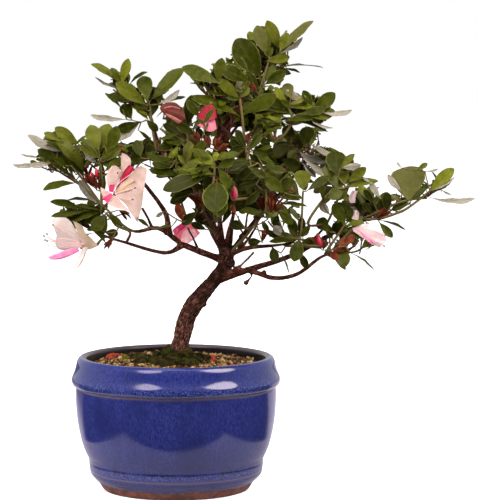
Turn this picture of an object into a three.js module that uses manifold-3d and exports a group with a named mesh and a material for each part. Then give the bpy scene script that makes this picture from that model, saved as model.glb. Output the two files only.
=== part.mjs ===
import * as THREE from "three";
import { mergeVertices } from "three/addons/utils/BufferGeometryUtils.js";
import Module from "manifold-3d";

const wasm = await Module();
wasm.setup();

// Millimetres, +Z up, the pot stands on z = 0 with its axis on the Z axis.
const clearance = 0.3;
const limbGrowth = 0.36;

// Round glazed pot: foot, plinth, barrel wall, collar and rounded lip.
const potSegments = 36;
const curveSteps = 3;
const footRadius = 60.5;
const footChamfer = 1;
const footFlare = 7;
const footHeight = 7.5;
const plinthRadius = 75.2;
const plinthRound = [11.5, 17];
const plinthTop = 26;
const plinthShoulder = [1, 1.8];
const wallFootRadius = 76.1;
const wallFootHeight = 30.4;
const wallSwell = [81.2, 41, 86.2, 64];
const bellyRadius = 86.6;
const bellyTop = 84;
const collarFoot = [86.8, 86.5];
const collarBulge = [89.6, 88.4, 90.4, 92];
const collarRadius = 90;
const collarHeight = 95;
const collarSlope = [89.2, 102, 86.2, 105.5];
const lipFoot = [84.6, 110.2];
const lipRound = 83.4;
const lipRoundHeight = 113.6;
const lipCrest = 114;
const lipRadius = 80.6;
const lipInside = [78, 77, 110];
const mouthRadius = 76.4;
const mouthHeight = 108;
const potFloor = 13;
const floorRadius = 62;
const innerSwell = 2.2;
const innerSteps = 3;
const innerGrading = 1.5;

// Gravel soil and the moss mound round the trunk.
const soilLevel = 105;
const soilDome = 1.6;
const soilRings = [0.72, 0.4, 0];
const mossRadius = 25;
const mossHeight = 13;
const mossEdge = 5;
const mossCrown = 0.6;
const mossSegments = 16;
const mossCentre = [2, 4];

// Trunk: leans to the right, swells a little below the fork.
const trunkGround = soilLevel + soilDome + clearance;
const trunkRooted = 6;
const trunkRoute = [
  [-1, 5, trunkGround - trunkRooted], [4, 5, 124], [10, 3, 149], [18, 0, 165],
  [32, 0, 180], [42, 0, 192], [45, 0, 205],
];
const trunkRadii = [11, 7.7, 7.5, 7.1, 6.1, 6.5, 5.6];
const trunkSides = 10;
const trunkRings = 10;
const groundBlock = [60, 30];
const boughSides = 5;
const ringsPerBend = 2;

// Each bough leaves its parent's axis at a fraction of its length and runs through a few bends to its tip.
const boughs = [
  {
    name: "leader_bough", parent: "trunk", at: 0.985, radii: [5, 2],
    bends: [[30, -3, 232], [27, 3, 268]], tip: [58, 9, 338],
  },
  {
    name: "left_bough", parent: "trunk", at: 0.9, radii: [3.2, 1.7],
    bends: [[8, -10, 212], [-14, -18, 227], [-38, -23, 226]], tip: [-66, -25, 252],
  },
  {
    name: "right_arm_bough", parent: "trunk", at: 0.66, radii: [3.4, 1.7],
    bends: [[62, -4, 190], [100, -8, 203]], tip: [139, 4, 223],
  },
  {
    name: "right_leader_bough", parent: "trunk", at: 0.94, radii: [3, 1.6],
    bends: [[58, 8, 219], [76, 20, 242]], tip: [97, 34, 277],
  },
  {
    name: "right_low_bough", parent: "trunk", at: 0.75, radii: [2.7, 1.5],
    bends: [[62, -9, 190], [84, -18, 184.5], [104, -21, 188]], tip: [122, -21, 201],
  },
  {
    name: "right_inner_bough", parent: "trunk", at: 0.97, radii: [2.6, 1.5],
    bends: [[62, -15, 210]], tip: [84, -26, 213],
  },
  {
    name: "back_low_bough", parent: "trunk", at: 0.95, radii: [3, 1.6],
    bends: [[45, 24, 216]], tip: [50, 66, 234],
  },
  {
    name: "front_bough", parent: "leader_bough", at: 0.14, radii: [2.8, 1.5],
    bends: [[38, -22, 229]], tip: [40, -52, 260],
  },
  {
    name: "left_low_bough", parent: "left_bough", at: 0.26, radii: [2.2, 1.3],
    bends: [[-10, -15, 206]], tip: [-49, -20, 217],
  },
  {
    name: "left_rise_bough", parent: "left_bough", at: 0.4, radii: [2.2, 1.3],
    bends: [[-9, -22, 242]], tip: [-30, -34, 272],
  },
  {
    name: "upper_left_bough", parent: "leader_bough", at: 0.4, radii: [2.9, 1.6],
    bends: [[6, 4, 268], [-14, 8, 297]], tip: [-21, 10, 319],
  },
  {
    name: "front_left_bough", parent: "leader_bough", at: 0.3, radii: [2.4, 1.4],
    bends: [[18, -20, 250]], tip: [5, -38, 262],
  },
  {
    name: "inner_left_bough", parent: "leader_bough", at: 0.56, radii: [2.3, 1.4],
    bends: [[18, -8, 290]], tip: [5, -17, 311],
  },
  {
    name: "crest_left_bough", parent: "leader_bough", at: 0.74, radii: [2.2, 1.4],
    bends: [[38, -2, 314]], tip: [34, -12, 327],
  },
  {
    name: "centre_bough", parent: "leader_bough", at: 0.58, radii: [2.3, 1.4],
    bends: [[44, -12, 286]], tip: [59, -29, 301],
  },
  {
    name: "upper_right_bough", parent: "leader_bough", at: 0.68, radii: [2.4, 1.5],
    bends: [[62, 4, 305]], tip: [88, 2, 318],
  },
  {
    name: "back_left_bough", parent: "leader_bough", at: 0.36, radii: [2.8, 1.6],
    bends: [[18, 24, 258]], tip: [-2, 48, 274],
  },
  {
    name: "back_crest_bough", parent: "leader_bough", at: 0.62, radii: [2.6, 1.5],
    bends: [[38, 26, 292]], tip: [50, 48, 308],
  },
  {
    name: "centre_right_bough", parent: "right_leader_bough", at: 0.3, radii: [2.2, 1.4],
    bends: [[72, -8, 236]], tip: [84, -34, 254],
  },
  {
    name: "back_right_bough", parent: "right_leader_bough", at: 0.55, radii: [2.4, 1.5],
    bends: [[88, 40, 250]], tip: [102, 62, 266],
  },
  {
    name: "right_shoulder_bough", parent: "right_arm_bough", at: 0.74, radii: [2, 1.2],
    bends: [[128, -12, 228]], tip: [138, -20, 250],
  },
  {
    name: "right_tip_bough", parent: "right_arm_bough", at: 0.9, radii: [1.7, 1.2],
    bends: [[154, -4, 231]], tip: [186, -6, 246],
  },
];

// Each mass of foliage hangs on the tip of one bough and keeps to its own reach round a centre.
const masses = [
  {
    name: "left_wing", bough: "left_bough", shoots: 6, leaf: 30,
    centre: [-101, -16, 290], reach: [38, 34, 27],
  },
  {
    name: "left_shoulder", bough: "left_rise_bough", shoots: 5, leaf: 28,
    centre: [-57, -40, 300], reach: [29, 32, 30],
  },
  {
    name: "left_low", bough: "left_low_bough", shoots: 5, leaf: 29,
    centre: [-77, -20, 237], reach: [37, 30, 23],
  },
  {
    name: "upper_left", bough: "upper_left_bough", shoots: 6, leaf: 31,
    centre: [-38, 10, 342], reach: [42, 36, 32],
  },
  {
    name: "inner_left", bough: "inner_left_bough", shoots: 5, leaf: 28,
    centre: [-2, -25, 331], reach: [31, 33, 30],
  },
  {
    name: "crest_left", bough: "crest_left_bough", shoots: 6, leaf: 29,
    centre: [36, -18, 346], reach: [35, 34, 31],
  },
  {
    name: "crest", bough: "leader_bough", shoots: 7, leaf: 34,
    centre: [78, 10, 373], reach: [43, 38, 35],
  },
  {
    name: "upper_right", bough: "upper_right_bough", shoots: 5, leaf: 30,
    centre: [112, 0, 327], reach: [40, 36, 27],
  },
  {
    name: "right_droop", bough: "right_leader_bough", shoots: 5, leaf: 30,
    centre: [120, 40, 297], reach: [32, 34, 29],
  },
  {
    name: "front_left", bough: "front_left_bough", shoots: 5, leaf: 29,
    centre: [0, -56, 280], reach: [35, 35, 30],
  },
  {
    name: "front", bough: "front_bough", shoots: 5, leaf: 29,
    centre: [41, -76, 280], reach: [33, 35, 32],
  },
  {
    name: "centre", bough: "centre_bough", shoots: 6, leaf: 29,
    centre: [68, -45, 315], reach: [36, 35, 32],
  },
  {
    name: "centre_right", bough: "centre_right_bough", shoots: 6, leaf: 29,
    centre: [92, -54, 266], reach: [36, 35, 32],
  },
  {
    name: "right_shoulder", bough: "right_shoulder_bough", shoots: 5, leaf: 30,
    centre: [140, -26, 271], reach: [34, 35, 28],
  },
  {
    name: "right_tip", bough: "right_tip_bough", shoots: 6, leaf: 30,
    centre: [216, -6, 259], reach: [44, 32, 23],
  },
  {
    name: "right_arm", bough: "right_arm_bough", shoots: 5, leaf: 29,
    centre: [170, 12, 242], reach: [32, 33, 26],
  },
  {
    name: "right_low", bough: "right_low_bough", shoots: 5, leaf: 29,
    centre: [146, -17, 212], reach: [34, 32, 26],
  },
  {
    name: "right_inner", bough: "right_inner_bough", shoots: 5, leaf: 28,
    centre: [102, -32, 224], reach: [30, 31, 26],
  },
  {
    name: "back_left", bough: "back_left_bough", shoots: 6, leaf: 32,
    centre: [-16, 70, 290], reach: [43, 40, 38],
  },
  {
    name: "back_crest", bough: "back_crest_bough", shoots: 6, leaf: 32,
    centre: [55, 70, 326], reach: [45, 40, 38],
  },
  {
    name: "back_right", bough: "back_right_bough", shoots: 6, leaf: 32,
    centre: [110, 84, 282], reach: [44, 40, 38],
  },
  {
    name: "back_low", bough: "back_low_bough", shoots: 5, leaf: 32,
    centre: [52, 98, 250], reach: [42, 38, 33],
  },
];

// Open flowers: the mass they belong to, the calyx, the way the mouth faces and the width across.
const flowers = [
  { mass: "left_low", calyx: [-67, -24, 214], faces: [-1, -0.12, 0.02], width: 46 },
  { mass: "left_shoulder", calyx: [-47, -46, 259], faces: [-0.05, -1, 0.05], width: 46 },
  { mass: "right_low", calyx: [149, -20, 231], faces: [0.85, -0.4, -0.35], width: 32 },
  { mass: "front_left", calyx: [12, -32, 234], faces: [-0.2, -0.5, -0.85], width: 30 },
  { mass: "inner_left", calyx: [-2, -36, 326], faces: [0.1, -0.9, -0.3], width: 26 },
  { mass: "crest_left", calyx: [28, -32, 324], faces: [0, -0.9, -0.35], width: 26 },
];

// Stems: how far below the centre of the mass they end and how hard they hold the bough's heading.
const stemRadii = [1.5, 1.3];
const stemSides = 4;
const stemRings = 3;
const hubDrop = 0.3;
const stemPull = 0.45;
const crownCore = [50, 5, 265];

// Shoots: the span of heights they fan over, how far out they reach and where on the stem they set out.
const goldenAngle = Math.PI * (3 - Math.sqrt(5));
const twigRadii = [0.75, 1, 1.2];
const twigSides = 3;
const twigRings = 2;
const fanTop = 0.92;
const fanSpan = 1.35;
const fanOutward = 0.3;
const shootSpread = 0.62;
const spreadRange = [0.85, 0.3];
const stemTop = 0.97;
const stemSpan = 0.66;
const shootLift = 0.5;
const shootLean = 0.3;
const shootTests = [0.5, 0.8, 1];
const seedStep = 50;

// Leaves: two on each face of a shoot, the young ones upright and short.
const leavesPerShoot = 6;
const whorlLength = 9;
const whorlHead = 2.4;
const whorlTail = 0.8;
const leafLean = 0.48;
const youngTilt = 0.5;
const tiltSpan = 0.85;
const tiltRange = 0.3;
const youngSize = 0.74;
const sizeRange = [0.88, 0.24];
const shortened = [1, 0.84, 0.7];
const leafDepth = 1.2;
const leafWidest = 0.58;
const leafHalfWidth = 0.22;
const leafSunk = 0.2;
const leafStalk = 2.5;

// Flowers: shares of the width across.
const petalsPerFlower = 5;
const petalTilt = 1.1;
const petalShare = 0.44;
const petalWidest = 0.6;
const petalHalfWidth = 0.36;
const petalDepth = 1.2;
const petalSunk = 0.3;
const petalRing = 0.06;
const tubeShare = 0.42;
const throatShare = 0.17;
const calyxRadius = 1.6;
const stalkRadii = [0.8, 1];
const stalkLeaves = 0.3;
const stalkPull = 0.55;

// Which number of a seed's row settles what.
const turnDraw = 0;
const spreadDraw = 10;
const tiltDraw = 61;
const sizeDraw = 80;

const sideMargin = 12;
const weldDistance = 1e-4;

const vector = (values) => new THREE.Vector3(...values);
const up = new THREE.Vector3(0, 0, 1);

// One number from 0 to 1 that depends only on a seed and an index.
function draw(seed, index) {
  let mixed = Math.imul(seed + 101, 0x9e3779b1) ^ Math.imul(index + 1, 0x85ebca6b);
  mixed = Math.imul(mixed ^ (mixed >>> 16), 0x7feb352d);
  mixed = Math.imul(mixed ^ (mixed >>> 15), 0x846ca68b);
  return ((mixed ^ (mixed >>> 16)) >>> 0) / 4294967296;
}

function solidOf(geometry) {
  geometry.deleteAttribute("normal");
  geometry.deleteAttribute("uv");
  const merged = mergeVertices(geometry, weldDistance);
  return new wasm.Manifold(new wasm.Mesh({
    numProp: 3,
    vertProperties: new Float32Array(merged.attributes.position.array),
    triVerts: new Uint32Array(merged.index.array),
  }));
}

function geometryOf(solid) {
  const mesh = solid.getMesh();
  const geometry = new THREE.BufferGeometry();
  geometry.setAttribute("position", new THREE.BufferAttribute(new Float32Array(mesh.vertProperties), 3));
  geometry.setIndex(new THREE.BufferAttribute(new Uint32Array(mesh.triVerts), 1));
  geometry.computeVertexNormals();
  return geometry;
}

// The outer skin of the largest body: loose scraps go and sealed hollows fill.
function soundBody(solid) {
  const bodies = solid.decompose().filter((body) => body.volume() > 0);
  return bodies.reduce((best, body) => (body.volume() > best.volume() ? body : best));
}

function radiusAt(radii, share) {
  const place = Math.min(share, 0.99999) * (radii.length - 1);
  const step = Math.floor(place);
  return THREE.MathUtils.lerp(radii[step], radii[step + 1], place - step);
}

// Two directions across a limb, square to its run and to each other.
function crossFrame(run) {
  const side = new THREE.Vector3(0, 1, 0).addScaledVector(run, -run.y).normalize();
  return { side, front: side.clone().cross(run) };
}

// A closed tapering limb: a cylinder bent along a curve, grown outward where a clearance is wanted.
function limb(curve, radii, sides, rings, growth = 0) {
  const geometry = new THREE.CylinderGeometry(1, 1, 1, sides, rings);
  const position = geometry.attributes.position;
  const point = new THREE.Vector3();
  for (let i = 0; i < position.count; i += 1) {
    const share = THREE.MathUtils.clamp(position.getY(i) + 0.5, 0, 1);
    const run = curve.getTangent(share);
    const { side, front } = crossFrame(run);
    const radius = radiusAt(radii, share) + growth;
    curve.getPoint(share, point);
    point.addScaledVector(side, position.getX(i) * radius).addScaledVector(front, position.getZ(i) * radius);
    if (share === 0) point.addScaledVector(run, -growth);
    if (share === 1) point.addScaledVector(run, growth);
    position.setXYZ(i, point.x, point.y, point.z);
  }
  return solidOf(geometry);
}

function routeCurve(points) {
  return new THREE.CatmullRomCurve3(points, false, "catmullrom", 0.5);
}

// A closed outline of radius and height turned about the Z axis.
function turned(profile, segments) {
  return new THREE.LatheGeometry(profile, segments).rotateX(Math.PI / 2);
}

// Inner wall of the pot: the radius at a height above the floor.
function innerRadius(height) {
  const share = (height - potFloor) / (soilLevel - potFloor);
  return floorRadius + (mouthRadius - floorRadius) * (1 - (1 - share) ** innerSwell);
}

function innerHeights() {
  return Array.from({ length: innerSteps + 1 }, (unused, i) => {
    return potFloor + (soilLevel - potFloor) * (i / innerSteps) ** innerGrading;
  });
}

function potSolid() {
  const outline = new THREE.Path();
  outline.moveTo(0, 0);
  outline.lineTo(footRadius - footChamfer, 0);
  outline.lineTo(footRadius, footChamfer);
  outline.lineTo(footRadius + footFlare, footHeight);
  outline.quadraticCurveTo(plinthRadius, plinthRound[0], plinthRadius, plinthRound[1]);
  outline.lineTo(plinthRadius, plinthTop);
  outline.lineTo(plinthRadius - plinthShoulder[0], plinthTop + plinthShoulder[1]);
  outline.lineTo(wallFootRadius, wallFootHeight);
  outline.bezierCurveTo(...wallSwell, bellyRadius, bellyTop);
  outline.lineTo(...collarFoot);
  outline.bezierCurveTo(...collarBulge, collarRadius, collarHeight);
  outline.bezierCurveTo(...collarSlope, ...lipFoot);
  outline.bezierCurveTo(lipRound, lipRoundHeight, lipRadius + 1, lipCrest, lipRadius, lipCrest);
  outline.bezierCurveTo(lipInside[0], lipCrest, lipInside[1], lipInside[2], mouthRadius, mouthHeight);
  const wall = innerHeights().reverse().map((height) => new THREE.Vector2(innerRadius(height), height));
  const profile = [...outline.getPoints(curveSteps), ...wall, new THREE.Vector2(0, potFloor)];
  return solidOf(turned(profile, potSegments));
}

function soilSolid() {
  const wall = innerHeights().map((height) => {
    return new THREE.Vector2(innerRadius(height) - clearance, Math.max(height, potFloor + clearance));
  });
  const crown = soilRings.map((share) => {
    return new THREE.Vector2(mouthRadius * share, soilLevel + soilDome * (1 - share ** 2));
  });
  const profile = [new THREE.Vector2(0, potFloor + clearance), ...wall, ...crown];
  return solidOf(turned(profile, potSegments));
}

function mossSolid() {
  const ground = soilLevel + soilDome + clearance;
  const mound = new THREE.Path();
  mound.moveTo(0, ground);
  mound.lineTo(mossRadius, ground);
  const crest = ground + mossHeight;
  mound.bezierCurveTo(mossRadius, ground + mossEdge, mossRadius * mossCrown, crest, 0, crest);
  const geometry = turned(mound.getPoints(curveSteps), mossSegments);
  geometry.translate(mossCentre[0], mossCentre[1], 0);
  return solidOf(geometry);
}

// Routes of all limbs, parents first.
function limbTable() {
  const table = new Map();
  const trunk = routeCurve(trunkRoute.map(vector));
  table.set("trunk", { curve: trunk, radii: trunkRadii, sides: trunkSides, rings: trunkRings });
  for (const bough of boughs) {
    const start = table.get(bough.parent).curve.getPoint(bough.at);
    const curve = routeCurve([start, ...bough.bends.map(vector), vector(bough.tip)]);
    const rings = ringsPerBend * (1 + bough.bends.length);
    table.set(bough.name, { curve, radii: bough.radii, sides: boughSides, rings });
  }
  return table;
}

// The stem of a mass sets out just beyond the tip of its bough and bends to the hub of the mass.
function stemOf(mass, limbs) {
  const bough = limbs.get(mass.bough);
  const heading = bough.curve.getTangent(1);
  const start = bough.curve.getPoint(1).addScaledVector(heading, clearance);
  const hub = vector(mass.centre).addScaledVector(up, -hubDrop * mass.reach[2]);
  const bend = start.clone().addScaledVector(heading, stemPull * start.distanceTo(hub));
  return new THREE.QuadraticBezierCurve3(start, bend, hub);
}

// Shoots fan out from the stem over the upper part of the reach, most of them away from the crown's core.
// Each runs to a knee and then straight on to its tip, where its leaves sit.
function shootsOf(mass, seed, stem) {
  const centre = vector(mass.centre);
  const outward = centre.clone().sub(vector(crownCore)).setZ(0).normalize();
  return Array.from({ length: mass.shoots }, (unused, k) => {
    const height = fanTop - (fanSpan * (k + 0.5)) / mass.shoots;
    const turn = k * goldenAngle + 2 * Math.PI * draw(seed, turnDraw);
    const across = Math.sqrt(1 - height * height);
    const way = new THREE.Vector3(across * Math.cos(turn), across * Math.sin(turn), height);
    way.addScaledVector(outward, fanOutward).normalize();
    const share = shootSpread * (spreadRange[0] + spreadRange[1] * draw(seed, spreadDraw + k));
    const tip = centre.clone().add(way.clone().multiply(vector(mass.reach)).multiplyScalar(share));
    const start = stem.getPoint(stemTop - (stemSpan * k) / mass.shoots);
    const axis = tip.clone().sub(start).normalize();
    axis.addScaledVector(up, shootLift).addScaledVector(way, shootLean).normalize();
    const knee = tip.clone().addScaledVector(axis, -whorlLength);
    return { curve: routeCurve([start, knee, tip]), tip, axis, seed: seed * seedStep + k };
  });
}

// A whorl of leaves, two on each face of the shoot: young ones upright, longer ones opening below.
function leavesOf(mass, shoot) {
  const { side, front } = crossFrame(shoot.axis);
  return Array.from({ length: leavesPerShoot }, (unused, j) => {
    const share = j / (leavesPerShoot - 1);
    const lean = j < leavesPerShoot / 2 ? leafLean : -leafLean;
    const turn = Math.PI / 3 + (j * 2 * Math.PI) / 3 + lean;
    const tilt = youngTilt + tiltSpan * share + tiltRange * (draw(shoot.seed, tiltDraw + j) - 0.5);
    const radial = side.clone().multiplyScalar(Math.sin(turn)).addScaledVector(front, Math.cos(turn));
    const along = shoot.axis.clone().multiplyScalar(Math.cos(tilt)).addScaledVector(radial, Math.sin(tilt));
    const face = shoot.axis.clone().multiplyScalar(Math.sin(tilt)).addScaledVector(radial, -Math.cos(tilt));
    const drop = whorlHead + share * (whorlLength - whorlHead - whorlTail);
    const root = shoot.tip.clone().addScaledVector(shoot.axis, -drop);
    const growth = youngSize + (1 - youngSize) * share;
    const size = mass.leaf * growth * (sizeRange[0] + sizeRange[1] * draw(shoot.seed, sizeDraw + j));
    return { root, along, face, size };
  });
}

// A leaf or petal: a tetrahedron drawn out flat, one edge the midrib and the other its greatest width.
function bladeSolid(blade, size, widest, halfWidth, depth) {
  const geometry = new THREE.TetrahedronGeometry(1, 0);
  const across = blade.face.clone().cross(blade.along);
  const position = geometry.attributes.position;
  const point = new THREE.Vector3();
  for (let i = 0; i < position.count; i += 1) {
    const end = Math.sign(position.getX(i));
    const isSide = position.getZ(i) > 0;
    const midrib = end > 0 ? size : -leafSunk;
    point.copy(blade.root).addScaledVector(blade.along, isSide ? widest * size : midrib);
    point.addScaledVector(blade.face, (isSide ? 0.5 : -0.5) * depth);
    if (isSide) point.addScaledVector(across, end * halfWidth * size);
    position.setXYZ(i, point.x, point.y, point.z);
  }
  return solidOf(geometry);
}

function leafSolid(leaf, size) {
  return bladeSolid(leaf, size, leafWidest, leafHalfWidth, leafDepth);
}

// An open flower: a flaring five-sided tube with a petal on each side, on a stalk from the stem.
function flowerSolid(flower) {
  const calyx = vector(flower.calyx);
  const faces = vector(flower.faces).normalize();
  const { side, front } = crossFrame(faces);
  const tube = tubeShare * flower.width;
  const throat = calyx.clone().addScaledVector(faces, tube);
  const tubeRadii = [calyxRadius, throatShare * flower.width];
  const parts = [limb(new THREE.LineCurve3(calyx, throat), tubeRadii, petalsPerFlower, 1)];
  for (let p = 0; p < petalsPerFlower; p += 1) {
    const turn = ((p + 0.5) / petalsPerFlower) * 2 * Math.PI;
    const radial = side.clone().multiplyScalar(Math.sin(turn)).addScaledVector(front, Math.cos(turn));
    const along = faces.clone().multiplyScalar(Math.cos(petalTilt));
    along.addScaledVector(radial, Math.sin(petalTilt));
    const face = faces.clone().multiplyScalar(Math.sin(petalTilt));
    face.addScaledVector(radial, -Math.cos(petalTilt));
    const root = throat.clone().addScaledVector(faces, -petalSunk * tube);
    root.addScaledVector(radial, petalRing * flower.width);
    const length = petalShare * flower.width;
    parts.push(bladeSolid({ root, along, face }, length, petalWidest, petalHalfWidth, petalDepth));
  }
  return wasm.Manifold.union(parts);
}

// Own space of a mass: nearer to its own centre, counted in reaches, than to any other.
function insideSpace(point, mass) {
  const centre = vector(mass.centre);
  const reach = vector(mass.reach);
  if (point.clone().sub(centre).divide(reach).length() > 1) return false;
  const weight = (other) => {
    const span = (other.reach[0] + other.reach[1] + other.reach[2]) / 3;
    return point.distanceToSquared(vector(other.centre)) - span * span;
  };
  const own = weight(mass);
  return masses.every((other) => {
    if (other === mass) return true;
    const apart = centre.distanceTo(vector(other.centre));
    return weight(other) - own > 2 * apart * clearance;
  });
}

function boxesMeet(one, other) {
  const a = one.boundingBox();
  const b = other.boundingBox();
  return [0, 1, 2].every((i) => a.min[i] < b.max[i] && a.max[i] > b.min[i]);
}

function touches(solid, obstacles) {
  return obstacles.some((obstacle) => boxesMeet(solid, obstacle) && !solid.intersect(obstacle).isEmpty());
}

function nearMass(solid, mass) {
  const box = solid.boundingBox();
  return mass.centre.every((middle, i) => {
    const reach = mass.reach[i] + sideMargin;
    return box.min[i] < middle + reach && box.max[i] > middle - reach;
  });
}

// A leaf that keeps to its space and crosses nothing, shortened if that helps, or nothing.
function fittingLeaf(leaf, mass, obstacles, placed) {
  for (const share of shortened) {
    const size = leaf.size * share;
    const across = leaf.along.clone().cross(leaf.face).multiplyScalar(leafHalfWidth * size);
    const middle = leaf.root.clone().addScaledVector(leaf.along, leafWidest * size);
    const tip = leaf.root.clone().addScaledVector(leaf.along, size);
    const corners = [tip, middle.clone().add(across), middle.clone().sub(across)];
    if (!corners.every((corner) => insideSpace(corner, mass))) continue;
    const outer = { ...leaf, root: leaf.root.clone().addScaledVector(leaf.along, leafStalk) };
    if (touches(leafSolid(outer, size - leafStalk), placed)) continue;
    const blade = leafSolid(leaf, size);
    if (!touches(blade, obstacles)) return blade;
  }
  return null;
}

// Twigs, leaves and flowers fused to one stem; whatever would leave the space or touch a limb is skipped.
function massSolid(mass, seed, stem, obstacles, blooms) {
  const parts = [limb(stem, stemRadii, stemSides, stemRings)];
  for (const bloom of blooms) {
    const calyx = vector(bloom.flower.calyx);
    const pull = stem.getPoint(stalkPull);
    const stalk = new THREE.QuadraticBezierCurve3(stem.getPoint(stalkLeaves), pull, calyx);
    parts.push(limb(stalk, stalkRadii, twigSides, twigRings), bloom.solid);
  }
  const grownShoots = shootsOf(mass, seed, stem).filter((shoot) => {
    const twig = limb(shoot.curve, twigRadii, twigSides, twigRings);
    if (!shootTests.every((share) => insideSpace(shoot.curve.getPoint(share), mass))) return false;
    if (touches(twig, obstacles)) return false;
    parts.push(twig);
    return true;
  });
  for (const shoot of grownShoots) {
    for (const leaf of leavesOf(mass, shoot)) {
      const blade = fittingLeaf(leaf, mass, obstacles, parts);
      if (blade) parts.push(blade);
    }
  }
  return soundBody(wasm.Manifold.union(parts));
}

const group = new THREE.Group();
const glazeBlue = new THREE.MeshStandardMaterial({ color: 0x24408f, roughness: 0.22, metalness: 0 });
const gravelTan = new THREE.MeshStandardMaterial({ color: 0x9a8468, roughness: 0.95, metalness: 0 });
const mossGreen = new THREE.MeshStandardMaterial({ color: 0x33401f, roughness: 1, metalness: 0 });
const barkBrown = new THREE.MeshStandardMaterial({ color: 0x5a3d2e, roughness: 0.9, metalness: 0 });
const leafGreen = new THREE.MeshStandardMaterial({ color: 0x5f7a32, roughness: 0.55, metalness: 0 });

function addNode(name, solid, material) {
  const mesh = new THREE.Mesh(geometryOf(solid), material);
  mesh.name = name;
  group.add(mesh);
}

const limbs = limbTable();
const grown = new Map();
addNode("pot", potSolid(), glazeBlue);
addNode("soil", soilSolid(), gravelTan);
const [blockWidth, blockHeight] = groundBlock;
const block = new THREE.BoxGeometry(blockWidth, blockWidth, blockHeight);
const below = solidOf(block.translate(0, 0, trunkGround - blockHeight / 2));
for (const [name, { curve, radii, sides, rings }] of limbs) {
  const taken = wasm.Manifold.union([below, ...grown.values()]);
  addNode(name, soundBody(limb(curve, radii, sides, rings).subtract(taken)), barkBrown);
  grown.set(name, limb(curve, radii, sides, rings, limbGrowth));
}
addNode("moss", soundBody(mossSolid().subtract(grown.get("trunk"))), mossGreen);

const stems = masses.map((mass) => stemOf(mass, limbs));
const blooms = flowers.map((flower) => ({ flower, solid: flowerSolid(flower) }));
masses.forEach((mass, index) => {
  const own = blooms.filter((bloom) => bloom.flower.mass === mass.name);
  const others = blooms.filter((bloom) => bloom.flower.mass !== mass.name).map((bloom) => bloom.solid);
  const otherStems = stems.filter((stem) => stem !== stems[index]);
  const stemSolids = otherStems.map((stem) => limb(stem, stemRadii, stemSides, stemRings, limbGrowth));
  const obstacles = [...grown.values(), ...stemSolids, ...others].filter((solid) => nearMass(solid, mass));
  addNode(`${mass.name}_foliage`, massSolid(mass, index + 1, stems[index], obstacles, own), leafGreen);
});

export default group;
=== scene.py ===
import math

import bmesh
import bpy
import numpy as np
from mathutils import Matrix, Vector, noise
from mathutils.geometry import interpolate_bezier
from mathutils.kdtree import KDTree


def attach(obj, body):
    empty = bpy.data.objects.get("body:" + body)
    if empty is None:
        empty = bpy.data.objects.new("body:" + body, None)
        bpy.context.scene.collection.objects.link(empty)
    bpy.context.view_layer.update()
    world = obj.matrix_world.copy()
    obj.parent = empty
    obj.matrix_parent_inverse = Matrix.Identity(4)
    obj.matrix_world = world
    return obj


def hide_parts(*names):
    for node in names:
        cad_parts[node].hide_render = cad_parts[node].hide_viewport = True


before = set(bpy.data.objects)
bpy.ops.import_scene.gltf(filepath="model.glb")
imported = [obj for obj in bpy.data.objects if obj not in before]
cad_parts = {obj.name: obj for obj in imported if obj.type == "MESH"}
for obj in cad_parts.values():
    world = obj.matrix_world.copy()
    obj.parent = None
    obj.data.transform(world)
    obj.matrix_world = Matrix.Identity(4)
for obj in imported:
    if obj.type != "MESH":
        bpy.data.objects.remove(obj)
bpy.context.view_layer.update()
scene = bpy.context.scene
mm = 0.001
weld = 1e-6         # metres within which points are one
nearTurn = 6.28     # the turn that draws are spread over
up = Vector((0, 0, 1))
goldenAngle = math.pi * (3 - math.sqrt(5))


# A screen colour, 0 to 255, as the linear one that shaders take
def paint(red, green, blue):
    def linear(value):
        value /= 255
        return value / 12.92 if value <= 0.04045 else ((value + 0.055) / 1.055) ** 2.4
    return (linear(red), linear(green), linear(blue), 1.0)


# One number from 0 to 1 that depends only on a seed and an index
def draw(seed, index):
    whole = 0xffffffff
    mixed = ((seed + 101) * 0x9e3779b1 ^ (index + 1) * 0x85ebca6b) & whole
    mixed = (mixed ^ mixed >> 16) * 0x7feb352d & whole
    mixed = (mixed ^ mixed >> 15) * 0x846ca68b & whole
    return (mixed ^ mixed >> 16) / (whole + 1)


def between(seed, index, low, high):
    return low + (high - low) * draw(seed, index)


def clamp(value):
    return min(1.0, max(0.0, value))


def addObject(name, data):
    made = bpy.data.objects.new(name, data)
    scene.collection.objects.link(made)
    return made


# Camera: a long lens as high as the crown's upper part, tipped down at the pot
cameraSet = {"place": (0.0546, -2.050, 0.382), "pitch": 4.88, "lens": 171.6, "sensor": 36.0, "clipEnd": 60}
cameraData = bpy.data.cameras.new("photoCamera")
cameraData.sensor_fit = "VERTICAL"
cameraData.sensor_height = cameraSet["sensor"]
cameraData.lens = cameraSet["lens"]
cameraData.clip_end = cameraSet["clipEnd"]
camera = addObject("photoCamera", cameraData)
camera.location = cameraSet["place"]
camera.rotation_euler = (math.radians(90 - cameraSet["pitch"]), 0, 0)
scene.camera = camera
scene.view_settings.view_transform = "Standard"


# Shader helpers
def addNode(tree, kind, **settings):
    made = tree.nodes.new(kind)
    for name, value in settings.items():
        setattr(made, name, value)
    return made


# A socket takes its value from another socket, or is set to a constant
def feed(tree, socket, value):
    if isinstance(value, bpy.types.NodeSocket):
        tree.links.new(value, socket)
    else:
        socket.default_value = value


mixSockets = {"RGBA": (0, 6, 7, 2), "FLOAT": (0, 2, 3, 0)}  # the mix node's share, first, second and result


def mixOf(tree, share, first, second, blend="MIX", kind="RGBA"):
    made = addNode(tree, "ShaderNodeMix", data_type=kind, blend_type=blend)
    *given, result = mixSockets[kind]
    for index, value in zip(given, (share, first, second)):
        feed(tree, made.inputs[index], value)
    return made.outputs[result]


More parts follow.
